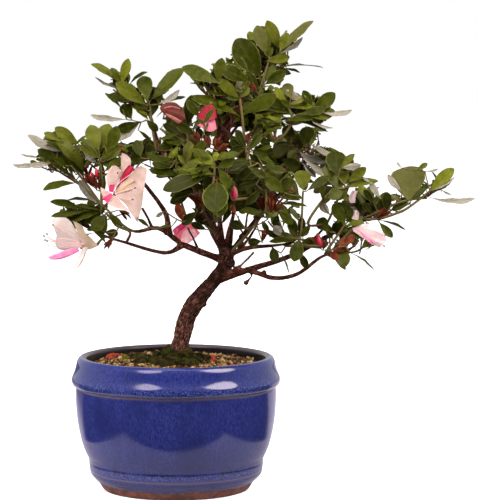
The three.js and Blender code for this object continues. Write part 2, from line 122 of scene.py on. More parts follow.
def mapRange(tree, value, low, high, toLow=0.0, toHigh=1.0):
    made = addNode(tree, "ShaderNodeMapRange", interpolation_type="SMOOTHSTEP")
    tree.links.new(value, made.inputs["Value"])
    for name, number in (("From Min", low), ("From Max", high), ("To Min", toLow), ("To Max", toHigh)):
        made.inputs[name].default_value = number
    return made.outputs["Result"]


def noiseOf(tree, place, scale, detail=2.0, roughness=0.5):
    made = addNode(tree, "ShaderNodeTexNoise")
    for name, value in (("Vector", place), ("Scale", scale), ("Detail", detail), ("Roughness", roughness)):
        feed(tree, made.inputs[name], value)
    return made.outputs["Fac"]


def addMath(tree, operation, *values):
    made = addNode(tree, "ShaderNodeMath", operation=operation)
    for socket, value in zip(made.inputs, values):
        feed(tree, socket, value)
    return made.outputs[0]


def objectPlace(tree, stretch=(1, 1, 1)):
    coords = addNode(tree, "ShaderNodeTexCoord")
    mapping = addNode(tree, "ShaderNodeMapping")
    mapping.inputs["Scale"].default_value = stretch
    tree.links.new(coords.outputs["Object"], mapping.inputs["Vector"])
    return mapping.outputs["Vector"]


# Noise over an object: how its place is stretched, then scale, detail and roughness
def patternOf(tree, stretch, *settings):
    return noiseOf(tree, objectPlace(tree, stretch), *settings)


def attributeOf(tree, name, output="Fac"):
    return addNode(tree, "ShaderNodeAttribute", attribute_name=name).outputs[output]


def newMaterial(name, **sockets):
    material = bpy.data.materials.new(name)
    material.use_nodes = True
    shader = material.node_tree.nodes["Principled BSDF"]
    for socket, value in sockets.items():
        shader.inputs[socket].default_value = value
    return material, material.node_tree, shader


def addBump(tree, shader, height, strength, distance):
    bump = addNode(tree, "ShaderNodeBump")
    bump.inputs["Strength"].default_value = strength
    bump.inputs["Distance"].default_value = distance
    tree.links.new(height, bump.inputs["Height"])
    tree.links.new(bump.outputs["Normal"], shader.inputs["Normal"])


# Shared effect: two colours drifting into each other in patches, with a fine grain over both
mottleSet = {
    "sockets": [("INPUT", "Vector", ("Place",)), ("INPUT", "Color", ("First", "Second")),
                ("INPUT", "Float", ("Patches", "Grain", "Contrast")),
                ("OUTPUT", "Color", ("Colour",)), ("OUTPUT", "Float", ("Mask", "Height"))],
    "patchDetail": 3.0, "grainDetail": 2.0, "patchEdge": (0.36, 0.64), "grainRange": (0.3, 0.7, 0.6, 1.35),
}


def makeMottle():
    tree = bpy.data.node_groups.new("mottle", "ShaderNodeTree")
    for way, kind, names in mottleSet["sockets"]:
        for name in names:
            tree.interface.new_socket(name, in_out=way, socket_type=f"NodeSocket{kind}")
    given = addNode(tree, "NodeGroupInput").outputs
    taken = addNode(tree, "NodeGroupOutput").inputs
    broad = noiseOf(tree, given["Place"], given["Patches"], mottleSet["patchDetail"])
    fine = noiseOf(tree, given["Place"], given["Grain"], mottleSet["grainDetail"])
    mask = mapRange(tree, broad, *mottleSet["patchEdge"])
    patched = mixOf(tree, mask, given["First"], given["Second"])
    grain = mapRange(tree, fine, *mottleSet["grainRange"])
    combine = addNode(tree, "ShaderNodeCombineColor")
    for channel in combine.inputs:
        tree.links.new(grain, channel)
    grained = mixOf(tree, given["Contrast"], patched, combine.outputs["Color"], "MULTIPLY")
    for name, value in (("Colour", grained), ("Mask", mask), ("Height", fine)):
        tree.links.new(value, taken[name])
    return tree


mottle = makeMottle()
# What a finish has where it doesn't say otherwise
plainFinish = {"contrast": 0.5, "specular": 0.4, "sheen": (1, 1, 1, 1), "bump": 0.3, "depth": 0.0002}


# Finishes from rows of two colours and a roughness, with the values that they share
def finishes(rows, **shared):
    return {name: {"first": paint(*first), "second": paint(*second), "rough": rough, **shared}
            for name, (first, second, rough) in rows.items()}


def addMottle(tree, finish):
    made = addNode(tree, "ShaderNodeGroup", node_tree=mottle)
    tree.links.new(objectPlace(tree), made.inputs["Place"])
    for name in ("First", "Second", "Patches", "Grain", "Contrast"):
        made.inputs[name].default_value = {**plainFinish, **finish}[name.lower()]
    return made.outputs


# A plain drifting finish, for everything that grows and for stones
def mottledMaterial(name, finish):
    finish = {**plainFinish, **finish}
    material, tree, shader = newMaterial(name)
    made = addMottle(tree, finish)
    tree.links.new(made["Colour"], shader.inputs["Base Color"])
    tree.links.new(mapRange(tree, made["Mask"], 0, 1, *finish["rough"]), shader.inputs["Roughness"])
    shader.inputs["Specular IOR Level"].default_value = finish["specular"]
    shader.inputs["Specular Tint"].default_value = finish["sheen"]
    addBump(tree, shader, made["Height"], finish["bump"], finish["depth"])
    return material


# Mesh helpers
def addPiece(name, mesh, material):
    mesh.name = name
    piece = addObject(name, mesh)
    mesh.materials.clear()
    mesh.materials.append(material)
    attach(piece, "root")
    return piece


# The finished mesh of a curve or of an object with a modifier, which itself is taken away again
def takeMesh(holder):
    mesh = bpy.data.meshes.new_from_object(holder.evaluated_get(bpy.context.evaluated_depsgraph_get()))
    bpy.data.objects.remove(holder)
    return mesh


def treeOf(points):
    tree = KDTree(len(points))
    for index, point in enumerate(points):
        tree.insert(point, index)
    tree.balance()
    return tree


def meshFrom(build):
    mesh = bpy.data.meshes.new("made")
    build.to_mesh(mesh)
    build.free()
    return mesh


def writeValues(mesh, name, kind, values):
    made = mesh.attributes.new(name, kind, "POINT")
    field = "vector" if kind == "FLOAT_VECTOR" else "value"
    made.data.foreach_set(field, np.asarray(values, np.float32).ravel())


# Many sheets of rows by columns of points, in millimetres, joined to one mesh; backs face the other way
def sheetsMesh(fronts=None, backs=None):
    points, faces, made = [], [], 0
    for grids, order in ((fronts, (0, 2, 3, 1)), (backs, (0, 1, 3, 2))):
        if grids is None:
            continue
        count, rows, columns, _ = grids.shape
        first = made + np.arange(count)[:, None, None] * rows * columns
        corner = first + np.arange(rows - 1)[None, :, None] * columns + np.arange(columns - 1)[None, None, :]
        corners = (corner, corner + 1, corner + columns, corner + columns + 1)
        faces += np.stack([corners[place] for place in order], -1).reshape(-1, 4).tolist()
        points += (grids.reshape(-1, 3) * mm).tolist()
        made = len(points)
    mesh = bpy.data.meshes.new("made")
    mesh.from_pydata(points, [], faces)
    mesh.shade_smooth()
    return mesh


# Copies of one small shape, each with its own points, joined to one mesh
def copiesMesh(points, faces, smooth=False):
    count, size, _ = points.shape
    joined = (np.arange(count)[:, None, None] * size + np.asarray(faces)[None]).reshape(-1, len(faces[0]))
    mesh = bpy.data.meshes.new("made")
    mesh.from_pydata((points.reshape(-1, 3) * mm).tolist(), [], joined.tolist())
    if smooth:
        mesh.shade_smooth()
    return mesh


# A profile of radius and height, in millimetres, turned about the upright axis
def turnedShape(profile, steps):
    build = bmesh.new()
    rim = [build.verts.new((radius * mm, 0, height * mm)) for radius, height in profile]
    edges = [build.edges.new(pair) for pair in zip(rim, rim[1:])]
    bmesh.ops.spin(build, geom=rim + edges, cent=(0, 0, 0), axis=(0, 0, 1), dvec=(0, 0, 0),
                   angle=2 * math.pi, steps=steps, use_merge=True, use_duplicate=False)
    bmesh.ops.remove_doubles(build, verts=build.verts, dist=weld)
    bmesh.ops.recalc_face_normals(build, faces=build.faces)
    return build


# Tapering tubes along lines of (point, radius) in millimetres, as one mesh
def tubesMesh(lines, resolution):
    data = bpy.data.curves.new("lines", "CURVE")
    data.dimensions = "3D"
    data.bevel_depth = mm
    data.bevel_resolution = resolution
    data.use_fill_caps = True
    for line in lines:
        spline = data.splines.new("POLY")
        spline.points.add(len(line) - 1)
        for made, (point, radius) in zip(spline.points, line):
            made.co = (*(point * mm), 1)
            made.radius = radius
    mesh = takeMesh(addObject("lines", data))
    bpy.data.curves.remove(data)
    return mesh


# Pot: foot, plinth, barrel wall, collar and rolled lip, then the inside down to its floor, in millimetres
potShape = {
    "steps": 320,
    "outline": [
        ("line", 4, (63, 0)), ("line", 2, (64.3, 1)), ("line", 12, (67.3, 5.8)),
        ("bend", 14, (69.2, 8.8), (74.3, 11.2), (75, 16.4)), ("line", 14, (75.7, 22.6)),
        ("bend", 12, (75.8, 25), (75.9, 26.6), (76.8, 28.6)),
        ("bend", 34, (82.9, 39.5), (87, 60), (87, 83)), ("bend", 7, (87, 86), (86.7, 88.4), (86.5, 89.2)),
        ("bend", 6, (87.4, 89.7), (88.7, 90.2), (89.6, 91.6)),
        ("bend", 8, (90.3, 92.7), (90.5, 93.8), (90.5, 94.8)),
        ("bend", 10, (90.5, 96.4), (89.9, 98), (89.1, 99.6)),
        ("bend", 10, (88.3, 101.2), (87.2, 104.2), (86.1, 109.8)),
        ("bend", 8, (85.4, 112.6), (84.3, 115), (81.8, 115.2)),
        ("bend", 8, (80.2, 115.3), (77.8, 115.2), (77.4, 112.4)),
        ("line", 8, (76.8, 103)), ("bend", 16, (75.6, 80), (72, 30), (62, 13)), ("line", 6, (0, 13)),
    ],
    # height, depth and width of the turned lines
    "rings": [(10.6, 0.25, 0.5), (16.4, 0.35, 0.5), (24.0, 0.25, 0.8)],
    # what tells the outside from the inside
    "footInside": 58, "plinthTop": 33, "lipInside": 78,
    "glazeEdge": 6.6, "glazeWander": 1.5, "glazeThick": 0.4, "edgeSoft": 0.9, "innerGlaze": 5,
    "scallops": 26, "scallopDepth": 1.5, "scallopSides": (1.8, 0.6), "wobble": 0.12, "wobbleSize": 26,
    # strength and waves of the noise round the pot
    "ripples": ((0.35, 9), (0.25, 31)), "wanders": ((1, 5), (0.6, 14), (0.4, 37)),
    # strength, height and half width, share of the ripple
    "thinLines": [(1, (89.2, 0.95), 0.3), (0.7, (16.4, 0.75), 0.4)],
    # strength, radius and half width, lowest height
    "lip": (0.8, (78.4, 0.9), 113),
    # height and half width
    "pools": [(94.5, 4.2), (20.4, 2.4)], "darkLine": (23.6, 2.2), "poolRipple": 2.4,
    "broken": (0.72, 1.3, 3, 4), "drips": (19, 1.6, 2.6),
    "innerFrom": 100, "innerFade": (82.2, 1.8), "bareFrom": 0.5,
}


def potProfile(shape):
    profile = [(0.0, 0.0)]
    for kind, count, *stops in shape["outline"]:
        start, end = profile[-1], stops[-1]
        if kind == "line":
            pulls = [[a + (b - a) * share for a, b in zip(start, end)] for share in (1 / 3, 2 / 3)]
        else:
            pulls = stops[:2]
        ends = [Vector((x, y, 0)) for x, y in (start, *pulls, end)]
        profile += [(point.x, point.y) for point in interpolate_bezier(*ends, count + 1)[1:]]
    return profile


def bandAt(z, band, shift=0.0):
    height, wide = band
    return math.exp(-((z - height - shift) / wide) ** 2)


# Noise round the pot, from rows of strength and waves
def wavesOf(around, rows):
    return sum(strength * noise.noise(around * waves) for strength, waves in rows)


def makePot(shape):
    build = turnedShape(potProfile(shape), shape["steps"])
    masks = {name: [] for name in ("glaze", "thin", "pool", "dark", "inner")}
    slope, start = shape["scallopSides"]
    strength, lipBand, lipLowest = shape["lip"]
    even, swing, breaks, breakPlace = shape["broken"]
    drips, dripFall, dripWide = shape["drips"]
    darkHeight, darkWide = shape["darkLine"]
    innerEdge, innerSoft = shape["innerFade"]
    for vertex in build.verts:
        x, y, z = (value / mm for value in vertex.co)
        radius, turn = math.hypot(x, y), math.atan2(y, x)
        around = Vector((math.cos(turn), math.sin(turn), 0))
        outside = radius > shape["footInside"] and (z < shape["plinthTop"] or radius > shape["lipInside"])
        ripple = wavesOf(around, shape["ripples"])
        wander = wavesOf(around, shape["wanders"])
        scallop = abs(math.sin(shape["scallops"] * turn)) * clamp(slope * abs(x) / max(radius, 1) - start)
        edge = shape["glazeEdge"] + shape["glazeWander"] * wander + shape["scallopDepth"] * scallop
        covered = clamp((z - edge) / shape["edgeSoft"] + 0.5) if outside else float(z > shape["innerGlaze"])
        groove = sum(deep * bandAt(z, (height, wide)) for height, deep, wide in shape["rings"])
        lip = strength * bandAt(radius, lipBand) if z > lipLowest else 0.0
        lines = pooled = darkened = 0.0
        if outside:
            wobble = shape["wobble"] * noise.noise(Vector((x, y, z)) / shape["wobbleSize"])
            grown = radius - groove - shape["glazeThick"] * (1 - covered) * (z > shape["bareFrom"]) + wobble
            vertex.co = (x / radius * grown * mm, y / radius * grown * mm, vertex.co.z)
            lines = sum(share * bandAt(z, band, shift * ripple) for share, band, shift in shape["thinLines"])
            poolShift = shape["poolRipple"] * ripple
            pooled = min(1, sum(bandAt(z, band, poolShift) for band in shape["pools"]))
            broken = clamp(even + swing * noise.noise(around * breaks + up * breakPlace))
            drip = max(0, noise.noise(around * drips)) * broken
            darkBand = (darkHeight - dripFall * drip, darkWide + dripWide * drip)
            darkened = broken * bandAt(z, darkBand, poolShift)
        # Painted shade: the inner mask darkens the inside wall and lip
        inside = 0.0 if outside and z < shape["innerFrom"] else clamp((innerEdge - radius) / innerSoft)
        for name, value in zip(masks, (covered, min(1, lines + lip), pooled, darkened, inside)):
            masks[name].append(value)
    mesh = meshFrom(build)
    for name, values in masks.items():
        writeValues(mesh, name, "FLOAT", values)
    mesh.shade_smooth()
    return mesh


# Colours, then stretch, scale, detail and roughness of each pattern, then where the patterns set in
glazeFinish = {
    "deep": paint(25, 30, 84), "bright": paint(41, 48, 105), "cloud": paint(20, 25, 72),
    # inner: near black, painted shade on the inside wall
    "pooled": paint(68, 77, 140), "dark": paint(14, 14, 36), "inner": paint(13, 8, 13),
    "thin": paint(96, 80, 84),
    "streaks": ((1, 1, 0.35), 900, 3.0, 0.62), "clouds": ((1, 1, 0.6), 34, 2.0, 0.5),
    "flecks": ((1, 1, 0.7), 1000, 2.0, 0.7),
    "brightEdge": (0.38, 0.66), "cloudEdge": (0.42, 0.7, 0, 0.6), "pooledEdge": (0.46, 0.63),
    "darkEdge": (0.36, 0.58, 1.0, 0.3), "rough": (0.35, 0.7, 0.09, 0.19), "innerRough": 0.28,
    "clayRough": 0.7, "refraction": 1.5, "bump": (0.04, 0.0003),
    "clay": {"first": paint(128, 74, 58), "second": paint(88, 50, 40), "patches": 160, "grain": 1400},
}


def glazeMaterial(finish):
    material, tree, shader = newMaterial("cobaltGlaze", IOR=finish["refraction"])
    glaze, thin, pool, dark, inner = (
        attributeOf(tree, name) for name in ("glaze", "thin", "pool", "dark", "inner"))
    streaks, clouds, flecks = (patternOf(tree, *finish[name]) for name in ("streaks", "clouds", "flecks"))
    base = mixOf(tree, mapRange(tree, streaks, *finish["brightEdge"]), finish["deep"], finish["bright"])
    base = mixOf(tree, mapRange(tree, clouds, *finish["cloudEdge"]), base, finish["cloud"])
    pooled = mixOf(tree, mapRange(tree, flecks, *finish["pooledEdge"]), finish["cloud"], finish["pooled"])
    base = mixOf(tree, pool, base, pooled)
    speckled = addMath(tree, "MULTIPLY", dark, mapRange(tree, flecks, *finish["darkEdge"]))
    # the inner colour is painted shade on the inside wall
    for share, name in ((speckled, "dark"), (inner, "inner"), (thin, "thin")):
        base = mixOf(tree, share, base, finish[name])
    made = addMottle(tree, finish["clay"])
    tree.links.new(mixOf(tree, glaze, made["Colour"], base), shader.inputs["Base Color"])
    rough = mapRange(tree, clouds, *finish["rough"])
    rough = addMath(tree, "MAXIMUM", rough, addMath(tree, "MULTIPLY", inner, finish["innerRough"]))
    bare = addMath(tree, "MULTIPLY", addMath(tree, "SUBTRACT", 1.0, glaze), finish["clayRough"])
    tree.links.new(addMath(tree, "MAXIMUM", rough, bare), shader.inputs["Roughness"])
    addBump(tree, shader, streaks, *finish["bump"])
    return material


pot = addPiece("glazedPot", makePot(potShape), glazeMaterial(glazeFinish))
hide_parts("pot")
print("pot", len(pot.data.polygons))


# Limbs, in millimetres: the trunk's route and radii, then each bough's parent, its place on the parent, its
# bends, its tip and its radii
trunkLine = {
    "route": [(-1, 5, 100.9), (3.6, 5, 124), (9.6, 3, 148), (16, 0.5, 160), (23, 0, 169), (32.5, 0, 180),
              (42, 0, 192), (45, 0, 205)],
    "radii": [11, 7.7, 7.9, 8.2, 6.9, 6.3, 6.6, 5.6],
}
boughLines = {
    "leader": ("trunk", 0.987, [(30, -3, 232), (27, 3, 268)], (58, 9, 338), (5, 2)),
    "left": ("trunk", 0.914, [(8, -10, 212), (-14, -18, 227), (-38, -23, 226)], (-66, -25, 252), (3.2, 1.7)),
    "right_arm": ("trunk", 0.709, [(62, -4, 190), (100, -8, 203)], (139, 4, 223), (3.4, 1.7)),
    "right_leader": ("trunk", 0.949, [(58, 8, 219), (76, 20, 242)], (97, 34, 277), (2.1, 1.4)),
    "right_low": ("trunk", 0.786, [(62, -9, 190), (84, -18, 184.5), (104, -21, 188)], (122, -21, 201),
                  (2.7, 1.5)),
    "right_inner": ("trunk", 0.974, [(62, -15, 210)], (84, -26, 213), (2.6, 1.5)),
    "back_low": ("trunk", 0.957, [(45, 24, 216)], (50, 66, 234), (3, 1.6)),
    "front": ("leader", 0.14, [(38, -22, 229)], (40, -52, 260), (2.8, 1.5)),
    "left_low": ("left", 0.26, [(-10, -15, 206)], (-49, -20, 217), (2.2, 1.3)),
    "left_rise": ("left", 0.4, [(-9, -22, 242)], (-30, -34, 272), (2.8, 1.5)),
    "upper_left": ("leader", 0.4, [(6, 4, 268), (-14, 8, 297)], (-21, 10, 319), (2.9, 1.6)),
    "front_left": ("leader", 0.3, [(18, -20, 250)], (5, -38, 262), (2.4, 1.4)),
    "inner_left": ("leader", 0.56, [(18, -8, 290)], (5, -17, 311), (2.3, 1.4)),
    "crest_left": ("leader", 0.74, [(38, -2, 314)], (34, -12, 327), (2.2, 1.4)),
    "centre": ("leader", 0.58, [(44, -12, 286)], (59, -29, 301), (2.3, 1.4)),
    "upper_right": ("leader", 0.68, [(62, 4, 305)], (88, 2, 318), (2.4, 1.5)),
    "back_left": ("leader", 0.36, [(18, 24, 258)], (-2, 48, 274), (2.8, 1.6)),
    "back_crest": ("leader", 0.62, [(38, 26, 292)], (50, 48, 308), (2.6, 1.5)),
    "centre_right": ("right_leader", 0.3, [(72, -8, 236)], (84, -34, 254), (2.2, 1.4)),
    "back_right": ("right_leader", 0.55, [(88, 40, 250)], (102, 62, 266), (2.4, 1.5)),
    "right_shoulder": ("right_arm", 0.74, [(128, -12, 228)], (138, -20, 250), (2, 1.2)),
    "right_tip": ("right_arm", 0.9, [(154, -4, 231)], (186, -6, 246), (1.7, 1.2)),
}


# A smooth curve through points, as a function of the share of its length in steps
def routeCurve(points):
    stops = [Vector(point) for point in points]
    last = len(stops) - 1

    def at(share):
        place = min(max(share, 0.0), 1.0) * last
        step = min(int(place), last - 1)
        part = place - step
        start, end = stops[step], stops[step + 1]
        before = stops[step - 1] if step > 0 else start * 2 - end
        after = stops[step + 2] if step + 2 <= last else end * 2 - start
        square, cube = part * part, part ** 3
        return (start * (2 * cube - 3 * square + 1) + (end - before) * 0.5 * (cube - 2 * square + part)
                + end * (3 * square - 2 * cube) + (after - start) * 0.5 * (cube - square))
    return at


def archCurve(start, bend, end):
    return lambda share: start * (1 - share) ** 2 + bend * 2 * share * (1 - share) + end * share ** 2


def headingAt(curve, share, step=1e-3):
    return (curve(min(share + step, 1)) - curve(max(share - step, 0))).normalized()


def crossFrame(run):
    side = (Vector((0, 1, 0)) - run * run.y).normalized()
    return side, side.cross(run)


def radiusAt(radii, share, nearEnd=0.99999):
    place = min(share, nearEnd) * (len(radii) - 1)
    step = int(place)
    return radii[step] + (radii[step + 1] - radii[step]) * (place - step)


# Boughs that turn green early: the share where their bark ends, and its radii up to there
barkEnds = {"left": (0.72, (3.2, 2.4, 1.4)), "right_tip": (0.4, (1.7, 1.2)),
            "right_shoulder": (0.35, (2, 1.2))}
limbs = {"trunk": (routeCurve(trunkLine["route"]), trunkLine["radii"])}
for name, (parent, place, bends, tip, radii) in boughLines.items():
    limbs[name] = (routeCurve([limbs[parent][0](place), *bends, tip]), radii)

# Bark: one skin fused over all limbs, with fissures along them
barkSet = {
    "voxel": 0.62, "resolution": 4, "spacing": 1.6, "measures": 40, "fewest": 6, "smoothing": (2, 0.5),
    "collar": 0.45, "collarLength": 7.0,        # swelling where a bough leaves its parent
    "lumps": 0.07, "lumpSize": 11.0, "swell": 0.5, "swellSize": 6.0, "fullRelief": 6.5, "nearest": 10,
    "fissure": 0.5, "fissureSize": 1.7, "fissureWide": 0.22, "fissurePower": 1.4, "stretch": 0.34,
    "twist": 0.012, "fibre": 0.28, "fibreScale": 2.3, "fibreShift": (5, 0, 0), "limbShift": 37,
    "shadeFrom": (140, 42), "shadeTo": (240, 30),  # heights where the crown shades the wood, and how softly
    "cut": 106.4, "knotFaces": 3,
    "knots": [(9.4, 0, 158.5, 3.2), (23.6, 0, 160, 3.0), (28.5, -1, 168, 2.4), (76.2, -14, 188.8, 2.3),
              (0.5, 2, 112, 5.0), (47, -2, 196, 4.4)],
    "stubs": [[(-20, -19, 228.5, 1.5), (-23, -22, 236, 1.2), (-28, -24, 245, 1.3)],
              [(64, -9, 189, 1.0), (65.6, -10, 185.5, 0.8), (62.5, -10.5, 181.5, 1.3),
               (60.2, -10, 179.2, 2.6), (59.2, -10, 178.2, 1.2)],
              [(42, -2, 207, 1.9), (40.5, -4, 219, 1.6), (39, -7, 232, 1.4)],
              [(46.5, 2, 206, 1.9), (48, 0, 220, 1.7), (49.5, -3, 238, 1.5), (52, -8, 256, 1.2)],
              [(50, -4, 191.5, 1.3), (56, -7, 194, 1.2), (62, -9, 200, 1.1), (67.5, -10, 206, 1.0)],
              [(20, -12, 207.5, 1.3), (16, -15, 217, 1.1), (10.6, -18, 228, 1.0)],
              [(53.7, -2, 207, 1.5), (59.8, -6, 222, 1.2), (61.5, -9, 237, 1.0), (66, -14, 249, 0.9)],
              [(54.5, -3, 206, 1.6), (64, -8, 219, 1.3), (69.5, -12, 228.5, 1.1), (72, -14, 236, 1.0)],
              [(62, -8, 217, 1.1), (55.5, -10, 226, 0.9), (53.7, -12, 238, 0.8)],
              [(20, 1, 282, 1.6), (12, -2, 296, 1.4), (6, -5, 308, 1.2)],
              [(36, 2, 300, 1.8), (44, -3, 318, 1.4), (48, -8, 336, 1.1)]],
}


def limbSamples(curve, radii, isTrunk):
    parts = barkSet["measures"]
    length = sum((curve((i + 1) / parts) - curve(i / parts)).length for i in range(parts))
    count = max(barkSet["fewest"], int(length / barkSet["spacing"]))
    samples, along, last = [], 0.0, curve(0)
    for i in range(count + 1):
        share = i / count
        point = curve(share)
        along += (point - last).length
        last = point
        swell = 0 if isTrunk else barkSet["collar"] * math.exp(-(along / barkSet["collarLength"]) ** 2)
        wave = 1 + barkSet["lumps"] * noise.noise(point / barkSet["lumpSize"])
        samples.append((point, radiusAt(radii, share) * (1 + swell) * wave, headingAt(curve, share), along))
    return samples


# The lines and radii of all limbs, and for each sample its place, radius and directions
def limbLines():
    lines, rings = [], []
    for index, (name, (curve, radii)) in enumerate(limbs.items()):
        end, radii = barkEnds.get(name, (1.0, radii))
        samples = limbSamples(lambda share: curve(share * end), radii, name == "trunk")
        lines.append([(point, radius) for point, radius, _, _ in samples])
        side = crossFrame(samples[0][2])[0]
        for point, radius, run, along in samples:
            side = (side - run * side.dot(run)).normalized()
            rings.append((point, radius, run, along, side, side.cross(run), index))
    lines += [[(Vector(stop[:3]), stop[3]) for stop in stub] for stub in barkSet["stubs"]]
    return lines, rings


def fuseLimbs(lines):
    mesh = tubesMesh(lines, barkSet["resolution"])
    build = bmesh.new()
    build.from_mesh(mesh)
    for x, y, z, radius in barkSet["knots"]:
        made = bmesh.ops.create_icosphere(build, subdivisions=barkSet["knotFaces"], radius=radius * mm)
        bmesh.ops.translate(build, verts=made["verts"], vec=Vector((x, y, z)) * mm)
    build.to_mesh(mesh)
    build.free()
    holder = addObject("limbs", mesh)
    fuse = holder.modifiers.new("fuse", "REMESH")
    fuse.mode = "VOXEL"
    fuse.voxel_size = barkSet["voxel"] * mm
    build = bmesh.new()
    build.from_mesh(takeMesh(holder))
    rounds, factor = barkSet["smoothing"]
    for _ in range(rounds):
        bmesh.ops.smooth_vert(build, verts=build.verts, factor=factor,
                              use_axis_x=True, use_axis_y=True, use_axis_z=True)
    build.normal_update()
    return build


def makeBark():
    lines, rings = limbLines()
    build = fuseLimbs(lines)
    tree = treeOf([ring[0] for ring in rings])
    fibreShift = Vector(barkSet["fibreShift"])
    shadeLow, shadeRise = barkSet["shadeFrom"]
    shadeHigh, shadeFall = barkSet["shadeTo"]
    places, cracks, girths, shades = [], [], [], []
    for vertex in build.verts:
        here = vertex.co / mm
        found = tree.find_n(here, barkSet["nearest"])
        _, index, _ = min(found, key=lambda hit: hit[2] - rings[hit[1]][1])
        point, radius, run, along, side, front, limb = rings[index]
        away = here - point
        along += away.dot(run)
        turn = math.atan2(away.dot(front), away.dot(side)) + barkSet["twist"] * along
        place = Vector((math.cos(turn) * radius, math.sin(turn) * radius,
                        along * barkSet["stretch"] + barkSet["limbShift"] * limb))
        grain = place / barkSet["fissureSize"]
        crack = max(0.0, 1 - abs(noise.noise(grain)) / barkSet["fissureWide"])
        fibre = noise.noise(grain * barkSet["fibreScale"] + fibreShift)
        scale = min(1.0, radius / barkSet["fullRelief"])
        lump = noise.noise(here / barkSet["swellSize"])
        vertex.co += vertex.normal * mm * scale * (barkSet["swell"] * lump + barkSet["fibre"] * fibre
                                                   - barkSet["fissure"] * crack ** barkSet["fissurePower"])
        places.append(place)
        cracks.append(crack)
        girths.append(radius)
        shades.append(clamp((here.z - shadeLow) / shadeRise) * clamp((shadeHigh - here.z) / shadeFall))
    for vertex in build.verts:
        vertex.co.z = max(vertex.co.z, barkSet["cut"] * mm)
    made = meshFrom(build)
    writeValues(made, "barkPlace", "FLOAT_VECTOR", places)
    for name, values in (("crack", cracks), ("girth", girths), ("shade", shades)):
        writeValues(made, name, "FLOAT", values)
    made.shade_smooth()
    return made, rings, tree


# Colours, then scale, detail and roughness of each pattern, then where the patterns set in
barkFinish = {
    # crack: near black; in the fissures it is painted shade, in the flakes it is the bark's own dark spots
    "ridge": paint(140, 96, 83), "body": paint(56, 27, 18), "crack": paint(18, 8, 4),
    "young": paint(72, 31, 20), "shade": paint(34, 15, 9),
    "specular": 0.08, "rough": (0.3, 0.7, 0.92, 0.7), "bump": (0.5, 0.0005),
    "fibres": (0.9, 4.0, 0.6), "patches": (110, 3.0), "flakes": (620, 3.0, 0.6),
    "ridgeEdge": (0.4, 0.68), "flakeEdge": (0.5, 0.66, 0, 0.5), "patchEdge": (0.45, 0.7, 0, 0.6),
    "shadeEdge": (0.3, 0.6, 0.25, 0.9), "youngEdge": (0.42, 0.7), "youngPatch": (0.4, 0.6),
    "oldGirth": (2.5, 6.5),
}


def barkMaterial(finish):
    material, tree, shader = newMaterial("bark", **{"Specular IOR Level": finish["specular"]})
    crack, girth, shade = (attributeOf(tree, name) for name in ("crack", "girth", "shade"))
    fibres = noiseOf(tree, attributeOf(tree, "barkPlace", "Vector"), *finish["fibres"])
    patches, flakes = (noiseOf(tree, objectPlace(tree), *finish[name]) for name in ("patches", "flakes"))
    old = mixOf(tree, mapRange(tree, fibres, *finish["ridgeEdge"]), finish["body"], finish["ridge"])
    old = mixOf(tree, mapRange(tree, flakes, *finish["flakeEdge"]), old, finish["crack"])
    old = mixOf(tree, mapRange(tree, patches, *finish["patchEdge"]), old, finish["body"])
    shaded = addMath(tree, "MULTIPLY", shade, mapRange(tree, patches, *finish["shadeEdge"]))
    old = mixOf(tree, shaded, old, finish["shade"])
    young = mixOf(tree, mapRange(tree, fibres, *finish["youngEdge"]), finish["young"], finish["ridge"])
    young = mixOf(tree, mapRange(tree, patches, *finish["youngPatch"]), young, finish["young"])
    colour = mixOf(tree, mapRange(tree, girth, *finish["oldGirth"]), young, old)
    # Painted shade: the fissures darken to the crack colour
    colour = mixOf(tree, crack, colour, finish["crack"])
    tree.links.new(colour, shader.inputs["Base Color"])
    tree.links.new(mapRange(tree, fibres, *finish["rough"]), shader.inputs["Roughness"])
    addBump(tree, shader, fibres, *finish["bump"])
    return material


barkMesh, limbRings, limbTree = makeBark()
bark = addPiece("barkSkin", barkMesh, barkMaterial(barkFinish))
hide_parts("trunk", *[f"{name}_bough" for name in boughLines])
print("bark", len(bark.data.polygons))


def touchesLimb(point, room, nearest=4):
    return any(gap < limbRings[index][1] + room for _, index, gap in limbTree.find_n(point, nearest))


# Foliage: each mass's bough, its centre and reach in millimetres, how many main shoots it has and how long
# its leaves are
massTable = {
    "left_wing": ("left", (-101, -16, 290), (38, 34, 27), 6, 30),
    "left_shoulder": ("left_rise", (-57, -40, 300), (29, 32, 30), 5, 28),
    "left_low": ("left_low", (-77, -20, 237), (37, 30, 23), 5, 29),
    "upper_left": ("upper_left", (-38, 10, 342), (42, 36, 32), 6, 31),
    "inner_left": ("inner_left", (-2, -25, 331), (31, 33, 30), 5, 28),
    "crest_left": ("crest_left", (36, -18, 346), (35, 34, 31), 6, 29),
    "crest": ("leader", (78, 10, 373), (43, 38, 35), 7, 34),
    "upper_right": ("upper_right", (112, 0, 327), (40, 36, 27), 5, 30),
    "right_droop": ("right_leader", (120, 40, 297), (32, 34, 29), 5, 30),
    "front_left": ("front_left", (0, -56, 280), (35, 35, 30), 5, 29),
    "front": ("front", (41, -76, 280), (33, 35, 32), 5, 29),
    "centre": ("centre", (68, -45, 315), (36, 35, 32), 6, 29),
    "centre_right": ("centre_right", (92, -54, 266), (36, 35, 32), 6, 29),
    "right_shoulder": ("right_shoulder", (140, -26, 271), (34, 35, 28), 5, 30),
    "right_tip": ("right_tip", (216, -6, 259), (44, 32, 23), 6, 30),
    "right_arm": ("right_arm", (170, 12, 242), (32, 33, 26), 5, 29),
    "right_low": ("right_low", (146, -17, 212), (34, 32, 26), 5, 29),
    "right_inner": ("right_inner", (102, -32, 224), (30, 31, 26), 5, 28),
    "back_left": ("back_left", (-16, 70, 290), (43, 40, 38), 6, 32),
    "back_crest": ("back_crest", (55, 70, 326), (45, 40, 38), 6, 32),
    "back_right": ("back_right", (110, 84, 282), (44, 40, 38), 6, 32),
    "back_low": ("back_low", (52, 98, 250), (42, 38, 33), 5, 32),
}
